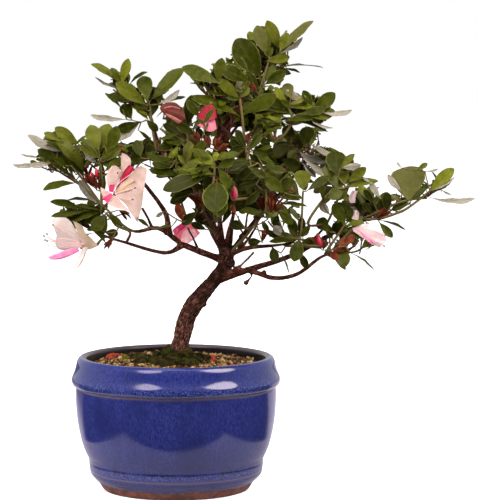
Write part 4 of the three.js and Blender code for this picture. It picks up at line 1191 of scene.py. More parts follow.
# Dry scales round a bud: a slim one where it is drawn, and shorter ones spread beside it
def growBracts(root, end, wide, seed):
    for turn, length, near in bractSet["scales"]:
        across = end - root
        across = Vector((across.x * math.cos(turn) - across.z * math.sin(turn), near,
                         across.x * math.sin(turn) + across.z * math.cos(turn)))
        rows = leaves["front"]["bronze" if near < 0 else "bud"]
        addSeen(rows, root, root + across * length, wide * bractSet["slim"], seed * 4 + int(length * 20))


spraySet = {
    "bough": (0.55, 0.045, 11), "stem": (8, 5),   # the places on the wood where a shoot may begin
    "woodySteps": 8, "greenSteps": 5, "seedStep": 40, "firstSeed": 4000,
    "shift": (-4.5, 4.5), "tipShift": (-2, 2), "bronzeAhead": 7, "dullFrom": -8, "bractsUnder": 6.5,
}


def growSpray(index, spray):
    depth = spray["depth"]
    line = [fromPhoto(spot, depth) for spot in spray["line"]]
    curve, stem = limbs[massTable[spray["mass"]][0]][0], stems[spray["mass"]]
    first, step, count = spraySet["bough"]
    parts, used = spraySet["stem"]
    wood = [curve(first + step * i) for i in range(count)] + [stem(i / parts) for i in range(used)]
    start = min(wood, key=lambda point: (point - line[0]).length)
    shoot = routeCurve([start, *line])
    turn = 1 / len(line)                  # woody up to the first place of the line, then green
    green = spraySet["greenSteps"] * len(line)
    nodes = addTwig(lambda share: shoot(share * turn), growth["shoot"], spraySet["woodySteps"], False)
    nodes += addTwig(lambda share: shoot(turn + share * (1 - turn)), growth["shoot"], green, True)
    rows = [(fromPhoto(row[:2], depth), fromPhoto(row[2:4], depth), row[4] * pixelAt(depth), tone)
            for tone, own in spray["leaves"].items() for row in own]
    order = sorted(range(len(rows)), key=lambda i: min((node - rows[i][0]).length for node in nodes))
    for i in order:
        root, end, wide, tone = rows[i]
        seed = index * spraySet["seedStep"] + i
        deeper = between(seed, 9, *spraySet["shift"]) - (spraySet["bronzeAhead"] if tone == "bronze" else 0)
        root = moveDeeper(root, deeper)
        end = moveDeeper(end, deeper + between(seed, 10, *spraySet["tipShift"]))
        joinStalk(nodes, root)
        if wide < spraySet["dullFrom"]:
            tone, wide = "dull", -wide
        if tone == "bronze" and wide < spraySet["bractsUnder"]:
            growBracts(root, end, wide, spraySet["firstSeed"] + seed)
        else:
            addSeen(leaves["front"][tone], root, end, wide, spraySet["firstSeed"] + seed)


petalSet = {
    "rows": 12, "columns": 13, "thick": 0.16, "ripple": 0.8, "waves": 10.0, "finer": 2.3, "rim": (6, 5),
    "spot": 3.2, "rimSpot": 0.6, "rimRow": 9, "spotStep": 3,
}


# A petal spanned between its lines, as a front sheet and a back one that meet at the rim
def spanPetal(depth, petal, seed):
    tone, base, rim, middle, lines = petal
    curves = [routeCurve([fromPhoto(spot, depth) for spot in line]) for line in lines]
    rows, columns, step = petalSet["rows"], petalSet["columns"], petalSet["spotStep"]
    sideSoft, rimSoft = petalSet["rim"]
    front, back = [], []
    for i in range(rows):
        share = i / (rows - 1)
        across = routeCurve([curve(share) for curve in curves])
        for j in range(columns):
            part = j / (columns - 1)
            phase = part * petalSet["waves"]
            wave = math.sin(phase + seed) + math.sin(petalSet["finer"] * phase + 2 * seed) / 2
            stands = base + (rim - base) * share + middle * math.sin(math.pi * part) * share
            point = moveDeeper(across(part), stands + petalSet["ripple"] * wave * share * share)
            thick = petalSet["thick"] * min(1, sideSoft * part * (1 - part)) * min(1, rimSoft * (1 - share))
            front.append(point)
            back.append(moveDeeper(point, thick))
            if i % step == step - 1 and j % step == 0:
                noteSpot(point, petalSet["spot"] if i < petalSet["rimRow"] else petalSet["rimSpot"])
    grids = np.array([[tuple(point) for point in sheet] for sheet in (front, back)])
    grids = grids.reshape(2, rows, columns, 3)
    facing = np.cross(grids[0, 8, 6] - grids[0, 4, 6], grids[0, 6, 8] - grids[0, 6, 4])
    petals[tone].append(grids if facing[1] < 0 else grids[:, :, ::-1])


# Stalks of flowers and buds: where on the mass's stem they begin and bend, and their radii
bloomStalks = {"flower": (0.25, 0.45, (0.8, 0.8, 1.3)), "bud": (0.3, 0.5, (0.75, 0.65, 0.9)), "steps": 8}
budForm = ((0, 0.45), (0.12, 0.78), (0.32, 1), (0.55, 0.95), (0.75, 0.72), (0.9, 0.45), (1, 0.15))
budSpots = (0.2, 0.5, 0.8)


def addStalk(kind, mass, end):
    begins, bends, radii = bloomStalks[kind]
    stem = stems[mass]
    addTwig(archCurve(stem(begins), stem(bends), end), radii, bloomStalks["steps"], True)


def growFlower(index, flower):
    for i, petal in enumerate(flower["petals"]):
        spanPetal(flower["depth"], petal, index * 20 + i)
    addStalk("flower", flower["mass"], fromPhoto(flower["calyx"], flower["depth"] + 1))


def growBud(bud):
    mass, depth, foot, tip, wide, tone = bud
    foot, tip, wide = fromPhoto(foot, depth), fromPhoto(tip, depth), wide * pixelAt(depth)
    budLines[tone].append([(foot.lerp(tip, share), wide / 2 * part) for share, part in budForm])
    addStalk("bud", mass, foot)
    for share in budSpots:
        noteSpot(foot.lerp(tip, share), wide / 2)


for sprayIndex, spray in enumerate(sprays):
    growSpray(sprayIndex, spray)
for flowerIndex, flower in enumerate(flowers):
    growFlower(flowerIndex, flower)
for bud in buds:
    growBud(bud)
print("front leaves", sum(map(len, leaves["front"].values())), "petals", sum(map(len, petals.values())))

seenTree = treeOf([(spotX, spotZ, 0) for spotX, spotZ, _, _ in seenSpots])
openSet = {"search": 15.0, "slack": 1.5, "behind": 2.0}


def insideOval(x, z, oval):
    return ((x - oval[0]) / oval[2]) ** 2 + ((z - oval[1]) / oval[3]) ** 2 < 1


# Leaves grown by the rule fill the depth: they stay behind the front sprays, out of the gaps that show sky
def keepsOpen(point):
    x, z = onPlane(point)
    if any(insideOval(x, z, part) and point.y < part[4] for part in bareParts):
        return False
    behind = False
    for _, index, gap in seenTree.find_range((x, z, 0), openSet["search"]):
        _, _, depth, radius = seenSpots[index]
        if gap < radius + openSet["slack"]:
            if point.y < depth + openSet["behind"]:
                return False
            behind = behind or gap < radius
    return behind or any(insideOval(x, z, part) for part in fullParts)


def insideReach(point, centre, reach):
    return sum(((a - b) / c) ** 2 for a, b, c in zip(point, centre, reach)) <= growth["slack"] ** 2


# Leaves at a shoot's tip: how they lean from even thirds, stand, lie below the tip and vary
whorlSet = {
    "leaves": 6, "tones": (0.7, 0.96), "lean": 0.48, "jitter": 0.22, "tilt": (0.5, 0.85, 0.3),
    "length": (0.74, 0.26), "vary": (0.88, 0.24), "below": (2.4, 5.8),
    "young": {"share": 0.4, "count": 2, "jitter": 0.3, "length": (0.36, 0.6), "tilt": (0.12, 0.42),
              "below": 0.6},
    "scales": {"share": 0.25, "count": 4, "length": (4.5, 8.5), "tilt": (0.3, 0.9), "below": 4.5},
    "seedStep": 13, "front": -0.2, "opened": (1.15, 0.5), "shorter": (1, 0.84, 0.7),
    "tests": (0.35, 0.65, 0.97), "room": 0.8,
}


# A whorl at the tip of a shoot: young leaves upright in its heart, older ones opening below
def growWhorl(tip, axis, seed, size, centre, reach):
    whorl = (tip, axis, *crossFrame(axis))
    usual, rare = whorlSet["tones"]
    toneDraw = draw(seed, 40)
    step = 1 if toneDraw < usual else 2 if toneDraw < rare else 3
    # Painted shade: a whorl near the crown's core takes the next darker tone
    step -= (tip - Vector(growth["crownCore"])).length < growth["shaded"]
    upright, opening, loose = whorlSet["tilt"]
    short, longer = whorlSet["length"]
    least, more = whorlSet["vary"]
    top, lower = whorlSet["below"]
    leafSeed = seed * whorlSet["seedStep"]
    kept = 0
    for j in range(whorlSet["leaves"]):
        share = j / (whorlSet["leaves"] - 1)
        lean = whorlSet["lean"] if j < 3 else -whorlSet["lean"]
        jitter = between(seed, 100 + j, -whorlSet["jitter"], whorlSet["jitter"])
        turn = math.pi / 3 + j * 2 * math.pi / 3 + lean + jitter
        tilt = upright + opening * share + loose * (draw(seed, 61 + j) - 0.5)
        length = size * (short + longer * share) * (least + more * draw(seed, 80 + j))
        below = top + share * lower
        kept += placeLeaf(whorl, turn, tilt, below, length, tones[step], leafSeed + j, centre, reach)
    young = whorlSet["young"]
    for j in range(young["count"] if draw(seed, 128) < young["share"] else 0):
        jitter = between(seed, 122 + j, -young["jitter"], young["jitter"])
        turn = draw(seed, 120) * nearTurn + j * math.pi + jitter
        length = size * between(seed, 126 + j, *young["length"])
        tilt = between(seed, 124 + j, *young["tilt"])
        kept += placeLeaf(whorl, turn, tilt, young["below"], length, "young", leafSeed + 7 + j, centre, reach)
    scales = whorlSet["scales"]
    for j in range(scales["count"] if draw(seed, 130) < scales["share"] else 0):
        turn = j * math.pi / 2 + draw(seed, 131) * nearTurn
        tilt = between(seed, 132 + j, *scales["tilt"])
        length = between(seed, 136 + j, *scales["length"])
        placeLeaf(whorl, turn, tilt, scales["below"], length, "bud", leafSeed + 9 + j, centre, reach)
    return kept


def placeLeaf(whorl, turn, tilt, below, size, tone, seed, centre, reach):
    tip, axis, side, front = whorl
    radial = side * math.sin(turn) + front * math.cos(turn)
    root = tip - axis * below
    if radial.y < whorlSet["front"]:
        opened, more = whorlSet["opened"]
        tilt = max(tilt, opened + more * draw(seed, 7))  # leaves toward the light open wide
    along = axis * math.cos(tilt) + radial * math.sin(tilt)
    face = axis * math.sin(tilt) - radial * math.cos(tilt)
    for shorter in whorlSet["shorter"]:
        length = size * shorter
        spots = [root + along * length * share for share in whorlSet["tests"]]
        if not insideReach(spots[-1], centre, reach):
            continue
        if any(touchesLimb(spot, whorlSet["room"]) for spot in spots[1:]):
            continue
        if all(keepsOpen(spot) for spot in spots):
            width = length * between(seed, 1, *growth["leafWidth"])
            addLeaf(leaves["fill"][tone], root, along, face, length, width, seed)
            return 1
    return 0


def growShoot(start, tip, way, seed, size, centre, reach, radii, sides):
    axis = ((tip - start).normalized() + up * growth["lift"] + way * growth["lean"]).normalized()
    knee = tip - axis * growth["whorl"]
    curve = routeCurve([start, knee, tip])
    if touchesLimb(tip, growth["tipRoom"]):
        return
    if growWhorl(tip, axis, seed, size, centre, reach) > 1:
        woody = growth["woodyShare"]
        addTwig(lambda share: curve(share * woody), radii[:2], growth["woodySteps"], False)
        addTwig(lambda share: curve(woody + share * (1 - woody)), radii[1:], growth["greenSteps"], True)
    first, step = growth["sideRoots"]
    forward, outward, upward = growth["sideWay"]
    for k in range(sides):
        root = curve(first + step * k)
        side, front = crossFrame(axis)
        turn = draw(seed, 20 + k) * nearTurn + k * goldenAngle
        radial = side * math.sin(turn) + front * math.cos(turn)
        length = between(seed, 24 + k, *growth["sideLength"])
        sideWay = (axis * forward + radial * outward + up * upward).normalized()
        sideTip = root + sideWay * length
        if insideReach(sideTip, centre, reach):
            growShoot(root, sideTip, sideWay, seed * 3 + growth["sideSeed"] + k, size * growth["sideLeaf"],
                      centre, reach, growth["sideShoot"], 0)


def growMass(index, name):
    bough, centre, reach, shoots, leafLength = massTable[name]
    seed = index + 1
    centre, reach = Vector(centre), Vector(reach)
    curve, stem = limbs[bough][0], stems[name]
    isGreen = bough in barkEnds
    end, joint = growth["join"]
    radius = growth["greenStem"] if isGreen else limbs[bough][1][-1]
    addTwig(lambda share: (curve(end).lerp(stem(0), share / joint) if share < joint
                           else stem((share - joint) / (1 - joint))),
            (radius, *growth["stem"]), growth["stemSteps"], isGreen)
    outward = centre - Vector(growth["crownCore"])
    outward.z = 0
    outward.normalize()
    rings = growth["rings"] + growth["moreRings"].get(name, 0)
    least, more = growth["uneven"]
    highest, lower = growth["roots"]
    for count in range(rings * shoots):
        k, ring = count / rings, count % rings
        height = growth["fanTop"] - growth["fanSpan"] * (k + 0.5) / shoots
        turn = k * goldenAngle + 2 * math.pi * draw(seed, 0) + growth["ringTurn"] * ring
        across = math.sqrt(max(0.0, 1 - height * height))
        way = Vector((across * math.cos(turn), across * math.sin(turn), height))
        way += outward * growth["fanOutward"]
        way.normalize()
        spread = growth["between"][ring - 1] if ring else growth["spread"]
        share = spread * (least + more * draw(seed, 10 + int(k)))
        tip = centre + way * reach * share
        root = stem(highest - lower * k / shoots)
        shootSeed = seed * 50 + int(k) + 16 * ring
        sides = 1 if ring else growth["sideShoots"]
        growShoot(root, tip, way, shootSeed, leafLength, centre, reach, growth["mainShoot"], sides)


for massIndex, massName in enumerate(massTable):
    growMass(massIndex, massName)
# What lies on the soil: x, y, way it points, length, width and tone, and the leaves of a seedling at the left
litter = [(13, -30, 0.4, 13, 4, "bronze"), (-34, -22, 2.4, 11, 4, "bud"), (52, 22, -0.3, 12, 3.5, "bronze"),
          (62, 8, 1.1, 9, 3, "bronze"), (-52, 6, 0.2, 10, 3.5, "bud"), (-12, 40, 0.6, 10, 4, "bronze")]
litterSet = {"height": 109.6, "rise": 0.12, "bend": 0.5, "seed": 9000}
seedling = {"place": (-44.5, 6, 107.5), "leaves": ((-0.25, 9), (0.3, 7.5), (0.05, 6)), "width": 2.8,
            "bend": 0.3, "forward": -0.1, "face": (0, -1, -0.1), "seed": 9020}
for i, (x, y, turn, length, width, tone) in enumerate(litter):
    along = Vector((math.cos(turn), math.sin(turn), litterSet["rise"])).normalized()
    place = Vector((x, y, litterSet["height"]))
    addLeaf(leaves["fill"][tone], place, along, up - along * along.z, length, width,
            litterSet["seed"] + i, litterSet["bend"])
for i, (lean, length) in enumerate(seedling["leaves"]):
    along = Vector((lean, seedling["forward"], 1)).normalized()
    face = Vector(seedling["face"]).normalized()
    addLeaf(leaves["fill"]["young"], Vector(seedling["place"]), along, face, length,
            seedling["width"], seedling["seed"] + i, seedling["bend"])
print("fill leaves", {tone: len(rows) for tone, rows in leaves["fill"].items()})

# Sheets of leaves: rows along them, columns across
leafForm = {
    "stalk": 0.42, "stalkShare": 0.06, "slimmest": 0.08, "fullness": 1.36, "roundness": 0.66,
    "tipWidth": 0.3, "tipFrom": 0.99, "ripple": 0.08, "waves": 15, "cup": 0.10, "ribTaper": 1.15,
    "straight": 1e-4,
}
sheets = {
    "front": {"rows": (0.0, 0.07, 0.14, 0.26, 0.4, 0.54, 0.68, 0.8, 0.89, 0.95, 0.985, 1.0),
              "columns": (-1, -0.52, 0, 0.52, 1)},
    "fill": {"rows": (0.0, 0.08, 0.2, 0.4, 0.6, 0.78, 0.92, 1.0), "columns": (-1, 0, 1)},
}
leafThick = {
    "under": 0.16, "rib": 0.22, "ribHeight": 0.12, "ribBelow": (1.2, 2.6), "ribColumns": (-1, 0, 1),
    # rim: a paler strip along each front leaf's edge, a painted highlight
    "rim": (0.94, 1.02), "rimLift": 0.06,
}


def leafGrids(rows, sheet, columns=None, drop=0.0, ribWidth=None, ribLift=0.0, raised=0.0):
    data = np.array(rows)
    root, along, face = (data[:, None, start:start + 3] for start in (0, 3, 6))
    length, width, fold, bend, twist, wave = (data[:, index, None] for index in range(9, 15))
    s = np.array(sheet["rows"])[None, :]
    v = np.array(columns or sheet["columns"], float)[None, None, :]
    t = np.clip((s - leafForm["stalkShare"]) / (1 - leafForm["stalkShare"]), 0, 1)
    shape = np.sin(np.pi * t ** leafForm["fullness"]) ** leafForm["roundness"]
    half = np.maximum(width / 2 * shape, np.minimum(leafForm["stalk"], leafForm["slimmest"] * width))
    half = np.where(s > leafForm["tipFrom"], leafForm["tipWidth"], half)
    arc = bend * s
    soft = np.where(bend < 0, np.minimum(bend, -leafForm["straight"]), np.maximum(bend, leafForm["straight"]))
    reach = length * np.sin(arc) / soft
    fall = -length * (1 - np.cos(arc)) / soft
    middle = root + along * reach[..., None] + face * fall[..., None]
    normal = face * np.cos(arc)[..., None] + along * np.sin(arc)[..., None]
    across = np.cross(face, along)
    turn = (twist * s)[..., None]
    sideways = across * np.cos(turn) + normal * np.sin(turn)
    facing = normal * np.cos(turn) - across * np.sin(turn)
    if ribWidth is not None:
        offset = v * np.minimum(ribWidth * (leafForm["ribTaper"] - s), half)[..., None]
        rise = ribLift * (1 - np.abs(v)) * np.ones_like(offset)
    else:
        offset = v * half[..., None]
        ripple = leafForm["ripple"] * np.sin(s * leafForm["waves"] + wave)[..., None] * v * v
        curl = fold[..., None] * np.abs(v) - leafForm["cup"] * v * v + ripple
        rise = half[..., None] * curl - drop * (1 - np.abs(v)) + raised
    aside = sideways[:, :, None] * offset[..., None]
    return middle[:, :, None] + aside + facing[:, :, None] * rise[..., None]


# Leaf colours by tone: besides the leaves' own greens, dark is painted shade and fresh is partly painted
# light
leafFinish = finishes({
    "dark": ((28, 31, 3), (36, 38, 5), (0.3, 0.42)), "deep": ((36, 40, 3), (46, 49, 5), (0.3, 0.42)),
    "mid": ((49, 53, 6), (60, 63, 10), (0.32, 0.44)), "fresh": ((70, 72, 13), (82, 83, 20), (0.34, 0.46)),
    "dull": ((71, 69, 28), (79, 76, 35), (0.5, 0.62)), "young": ((84, 87, 14), (98, 99, 22), (0.38, 0.5)),
    "bronze": ((74, 25, 12), (102, 48, 24), (0.55, 0.7)), "bud": ((70, 25, 15), (92, 42, 24), (0.55, 0.7)),
    "under": ((121, 113, 97), (137, 128, 116), (0.6, 0.75)),
    "underYoung": ((108, 102, 52), (122, 115, 68), (0.6, 0.75)),
    # rim: painted highlight along the front leaves' edges
    "rim": ((76, 77, 24), (92, 90, 40), (0.5, 0.6)), "rib": ((62, 64, 13), (78, 77, 22), (0.55, 0.65)),
}, patches=240, grain=1500, contrast=0.4, bump=0.3, depth=0.0002, specular=0.1, sheen=(1, 0.98, 0.75, 1))
# Painted light: how much lighter the colours of leaves are made that stand in the others' shade
leafLift = {"dark": 2.6, "deep": 2.4, "mid": 2.1, "fresh": 1.2, "young": 0.7}


def lifted(finish, lift):
    brighter = {name: (*(value * lift for value in finish[name][:3]), 1) for name in ("first", "second")}
    return {**finish, **brighter}


underSides = {"under": ("dark", "deep", "mid", "fresh", "dull", "bronze"), "underYoung": ("young", "bud")}
ribTones = ("dark", "deep", "mid", "fresh", "dull", "young")
foliage = []
for part, byTone in leaves.items():
    sheet = sheets[part]
    for tone, rows in byTone.items():
        if rows:
            upper = sheetsMesh(leafGrids(rows, sheet))
            lift = leafLift.get(tone, 1) if part == "fill" else 1
            made = mottledMaterial(f"{tone}{part}Leaf", lifted(leafFinish[tone], lift))
            foliage.append(addPiece(f"{tone}{part.title()}Leaves", upper, made))
    for kind, own in underSides.items():
        rows = [row for tone in own for row in byTone[tone]]
        lower = sheetsMesh(backs=leafGrids(rows, sheet, drop=leafThick["under"]))
        # The fill's undersides take the darker, greener young underside colour: painted shade inside the
        # crown
        made = mottledMaterial(f"{kind}{part}Leaf", leafFinish["underYoung" if part == "fill" else kind])
        foliage.append(addPiece(f"{kind}{part.title()}Leaves", lower, made))
    ribbed = [row for tone in ribTones for row in byTone[tone]]
    wide, high = leafThick["rib"], leafThick["ribHeight"]
    wider, deeper = leafThick["ribBelow"]
    above = leafGrids(ribbed, sheet, leafThick["ribColumns"], 0, wide, high)
    below = leafGrids(ribbed, sheet, leafThick["ribColumns"], 0, wide * wider, -high * deeper)
    made = mottledMaterial(f"{part}Rib", leafFinish["rib"])
    foliage.append(addPiece(f"{part}Ribs", sheetsMesh(above, below), made))
    # Painted highlight: a paler strip along both edges of each front leaf
    if part == "front":
        near, far = leafThick["rim"]
        sides = ((-far, -near), (near, far))
        rims = [leafGrids(ribbed, sheet, side, raised=leafThick["rimLift"]) for side in sides]
        made = mottledMaterial("leafRim", leafFinish["rim"])
        foliage.append(addPiece("leafRims", sheetsMesh(np.concatenate(rims)), made))

twigFinish = finishes({
    "woody": ((62, 28, 19), (88, 48, 36), (0.7, 0.85)), "green": ((84, 78, 31), (94, 72, 37), (0.6, 0.75)),
}, patches=180, grain=1600, bump=0.4)
for kind, lines in (("woody", woodyTwigs), ("green", greenTwigs)):
    made = mottledMaterial(f"{kind}Twig", twigFinish[kind])
    foliage.append(addPiece(f"{kind}Twigs", tubesMesh(lines, 1), made))

petalRough = (0.5, 0.65)
petalFinish = finishes({
    "white": ((212, 194, 188), (202, 179, 172), petalRough),
    "shell": ((184, 155, 145), (172, 142, 131), petalRough),
    # cream: the funnel's own creamy tone, darkened as painted shade
    "cream": ((198, 172, 148), (186, 156, 130), petalRough),
    "coral": ((242, 98, 120), (244, 120, 140), petalRough),
    "coralPale": ((230, 158, 164), (234, 174, 178), petalRough),
    "blush": ((232, 204, 200), (226, 184, 186), petalRough),
    "pink": ((232, 122, 166), (238, 150, 186), petalRough),
    "rose": ((208, 60, 108), (192, 44, 92), petalRough),
    "crimson": ((172, 28, 58), (146, 20, 44), petalRough),
    "scarlet": ((134, 7, 29), (112, 5, 21), petalRough),
    "salmon": ((186, 84, 106), (196, 110, 124), petalRough),
    "faded": ((94, 41, 31), (78, 32, 24), petalRough),
    "fadedPale": ((144, 88, 80), (126, 69, 62), petalRough),
    "tan": ((188, 156, 128), (176, 140, 110), petalRough),
}, patches=130, grain=900, contrast=0.1, bump=0.1, specular=0.2)
for tone, finish in petalFinish.items():
    made = mottledMaterial(f"{tone}Petal", finish)
    if petals[tone]:
        sheetPairs = np.array(petals[tone])
        mesh = sheetsMesh(sheetPairs[:, 0], sheetPairs[:, 1])
        foliage.append(addPiece(f"{tone}Petals", mesh, made))
    if budLines[tone]:
        mesh = tubesMesh(budLines[tone], 3)
        mesh.shade_smooth()
        foliage.append(addPiece(f"{tone}Buds", mesh, made))

# Filaments thin toward their ends; anthers are a place along the line's end and a radius each
stamenSet = {"steps": 10, "radius": 0.42, "taper": 0.012,
             "anther": ((-0.9, 0.3), (-0.4, 0.7), (0.5, 0.7), (1.0, 0.25))}
filaments, anthers = [], []
for depth, line in stamens:
    curve = routeCurve([fromPhoto(spot, depth) for spot in line])
    steps = stamenSet["steps"]
    radii = [stamenSet["radius"] - stamenSet["taper"] * i for i in range(steps + 1)]
    filaments.append([(curve(i / steps), radius) for i, radius in enumerate(radii)])
    end, way = curve(1), headingAt(curve, 1)
    anthers.append([(end + way * ahead, radius) for ahead, radius in stamenSet["anther"]])
stamenFinish = finishes({
    "stamens": ((206, 160, 156), (196, 140, 140), (0.5, 0.6)),
    "anthers": ((70, 42, 34), (96, 62, 46), (0.7, 0.8)),
}, patches=300, grain=1800)
for kind, lines in (("stamens", filaments), ("anthers", anthers)):
    foliage.append(addPiece(kind, tubesMesh(lines, 1), mottledMaterial(kind, stamenFinish[kind])))
foliageNodes = [f"{name}_foliage" for name in massTable]
for piece in foliage:
    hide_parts(*foliageNodes)
print("foliage", sum(len(piece.data.polygons) for piece in foliage))

# Soil: a dark bed with angular grains lying on it in a loose layer
soilSet = {
    "radius": 76.4, "level": 106.3, "dome": 1.6, "sunk": 3.0, "sunkEdge": (0.76, 0.24), "sunkLeft": 0.5,
    "sunkFront": 0.85,
    "backRise": 2.4, "backLeft": (0.6, 0.8), "bedRings": 26, "bedSides": 96, "bedDrop": 0.6, "bedInset": 0.4,
    "bedLow": 98.0, "bedLumps": (0.7, 3.0),
    "spacing": 2.85, "rowShare": 0.866, "jitter": 1.0, "lift": (-0.4, 1.2), "margin": 2.0,
    "upperShift": 0.3, "upperLift": 1.1, "upperLeftOut": 0.72, "mossShare": 0.8,
    "size": (0.95, 2.2), "corners": (0.72, 1.22), "flatness": (0.42, 1.45),
    "shares": (("tan", 0.36), ("pale", 0.24), ("brown", 0.4)),
    # x, y, size and lift of each bit of brick
    "brick": [(-57, 28, 3.8, 2.4), (-52, 32, 3.4, 2.4), (-49, 26, 2.8, 2), (-61, 30, 3, 2), (32, 0, 2.6, 1.5),
              (32.5, 0.5, 2.8, 4.2), (32, 1, 2.4, 7), (48, -30, 3, 2)],
}
# Moss mounds: x and y of the middle, radius and height
mossMounds = [(0, 3, 26, 15), (-6, -15, 19, 7), (-33, 32, 12, 4), (20, 16, 13, 7), (-28, 6, 15, 5),
              (8, -20, 12, 5)]
rng = np.random.default_rng(11)


def soilHeight(x, y):
    radius = soilSet["radius"]
    share = math.hypot(x, y) / radius
    inner, wide = soilSet["sunkEdge"]
    edge = max(0.0, share - inner) / wide
    back = max(0.0, y / radius)
    aside = 1 - soilSet["sunkLeft"] * x / radius
    sunk = soilSet["sunk"] * edge * edge * aside * (1 - soilSet["sunkFront"] * back)
    middle, slope = soilSet["backLeft"]
    rise = soilSet["backRise"] * back * max(0.0, middle - slope * x / radius)
    return soilSet["level"] + soilSet["dome"] * (1 - share * share) + rise - sunk


def makeBed():
    rings, drop, low = soilSet["bedRings"], soilSet["bedDrop"], soilSet["bedLow"]
    stops = [soilSet["radius"] * i / rings for i in range(rings + 1)]
    profile = [(stop, soilHeight(stop, 0) - drop) for stop in stops]
    profile += [(soilSet["radius"] - soilSet["bedInset"], low), (0, low)]
    build = turnedShape(profile, soilSet["bedSides"])
    high, size = soilSet["bedLumps"]
    for vertex in build.verts:
        x, y, z = vertex.co / mm
        if z > low + 1:
            vertex.co.z = (soilHeight(x, y) - drop + high * noise.noise(vertex.co / mm / size)) * mm
    mesh = meshFrom(build)
    mesh.shade_smooth()
    return mesh


def turnMatrices(count):
    quat = rng.normal(size=(count, 4))
    quat /= np.linalg.norm(quat, axis=1, keepdims=True)
    w, x, y, z = quat.T
    return np.stack([1 - 2 * (y * y + z * z), 2 * (x * y - z * w), 2 * (x * z + y * w),
                     2 * (x * y + z * w), 1 - 2 * (x * x + z * z), 2 * (y * z - x * w),
                     2 * (x * z - y * w), 2 * (y * z + x * w), 1 - 2 * (x * x + y * y)], -1).reshape(-1, 3, 3)


def grainShape():
    build = bmesh.new()
    bmesh.ops.create_icosphere(build, subdivisions=1, radius=1)
    points = np.array([vertex.co for vertex in build.verts])
    faces = [[vertex.index for vertex in face.verts] for face in build.faces]
    build.free()
    return points, faces


def grains(places, sizes):
    points, faces = grainShape()
    count = len(places)
    shaped = points[None] * rng.uniform(*soilSet["corners"], (count, len(points), 1))
    shaped = shaped * rng.uniform(*soilSet["flatness"], (count, 1, 3)) * np.asarray(sizes)[:, None, None]
    turned = np.einsum("nij,nkj->nki", turnMatrices(count), shaped)
    return copiesMesh(turned + np.asarray(places)[:, None, :], faces)


def underMoss(x, y):
    return any(math.hypot(x - a, y - b) < radius * soilSet["mossShare"] for a, b, radius, _ in mossMounds)


def layGrains():
    spots = []
    radius, spacing, jitter = soilSet["radius"], soilSet["spacing"], soilSet["jitter"]
    rowStep = spacing * soilSet["rowShare"]
    for layer in range(2):
        for row in range(int(2 * radius / rowStep)):
            for column in range(int(2 * radius / spacing) + 1):
                dx, dy = rng.uniform(-jitter, jitter, 2)
                x = -radius + (column + 0.5 * (row % 2) + soilSet["upperShift"] * layer) * spacing + dx
                y = -radius + row * rowStep + dy
                lift = rng.uniform(*soilSet["lift"]) + soilSet["upperLift"] * layer
                if math.hypot(x, y) > radius - soilSet["margin"] or underMoss(x, y):
                    continue
                if layer and rng.uniform() < soilSet["upperLeftOut"]:
                    continue
                spots.append((x, y, soilHeight(x, y) + lift))
    return np.array(spots)


# The rows of a table that are dealt to each name by its share
def dealOut(rows, dealt, shares):
    start = 0.0
    for name, share in shares:
        yield name, rows[(dealt >= start) & (dealt < start + share)]
        start += share


stoneRough = (0.85, 0.95)
stoneFinish = finishes({
    # bed: painted shade in the gaps between grains; brown: the soil's own dark grains, partly darkened as
    # painted shade too
    "bed": ((20, 13, 5), (32, 22, 10), (0.9, 1.0)), "tan": ((130, 96, 52), (98, 68, 34), stoneRough),
    "pale": ((172, 142, 106), (142, 110, 74), stoneRough), "brown": ((60, 38, 18), (34, 21, 9), stoneRough),
    "brick": ((150, 62, 40), (118, 44, 28), stoneRough),
}, patches=420, grain=2600, bump=0.5, depth=0.0004, specular=0.2)

soilPieces = [addPiece("soilBed", makeBed(), mottledMaterial("soilBed", stoneFinish["bed"]))]
spots = layGrains()
dealt = rng.uniform(size=len(spots))
for tone, own in dealOut(spots, dealt, soilSet["shares"]):
    mesh = grains(own, rng.uniform(*soilSet["size"], len(own)))
    made = mottledMaterial(f"{tone}Grain", stoneFinish[tone])
    soilPieces.append(addPiece(f"{tone}Grains", mesh, made))
bricks = np.array([(x, y, soilHeight(x, y) + lift) for x, y, _, lift in soilSet["brick"]])
mesh = grains(bricks, np.array([size for _, _, size, _ in soilSet["brick"]]))
soilPieces.append(addPiece("brickBits", mesh, mottledMaterial("brickBit", stoneFinish["brick"])))
for piece in soilPieces:
    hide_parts("soil")
print("soil", len(spots))

# Moss: lumpy mounds set with short blades
mossSet = {
    "blades": 17000, "tries": 3, "length": (1.0, 2.8), "width": 0.38, "sink": 0.3, "room": 0.2, "stray": 0.55,
    "probe": 0.6, "upright": 0.95, "sunk": 0.8, "crown": 1.1, "lumps": 3.0, "lumpFade": 3,
    # strength, place and size of the noise
    "outline": (0.4, 21, 9.0), "coarse": (1, 3, 6.0), "fine": (0.5, 9, 2.6),
    "rings": 24, "sides": 64, "wider": 1.1, "tuft": 4.0, "mixing": 0.25,
    "corners": ((1, 0), (-0.5, 0.87), (-0.5, -0.87)),
    "shares": (("dark", 0.4), ("dry", 0.38), ("fresh", 0.22)),
}


def mossNoise(x, y, kind):
    strength, place, size = mossSet[kind]
    return strength * noise.noise(Vector((x, y, place)) / size)


def moundHeight(mound, x, y):
    middleX, middleY, radius, height = mound
    away = math.hypot(x - middleX, y - middleY) / radius
    away *= 1 + mossNoise(x, y, "outline")
    crown = max(0.0, 1 - away ** 2) ** mossSet["crown"]
    lump = mossNoise(x, y, "coarse") + mossNoise(x, y, "fine")
    lump *= mossSet["lumps"] * min(1.0, mossSet["lumpFade"] * max(0.0, 1 - away))
    return soilHeight(x, y) - mossSet["sunk"] + height * crown + lump


def mossHeight(x, y):
    return max(moundHeight(mound, x, y) for mound in mossMounds)


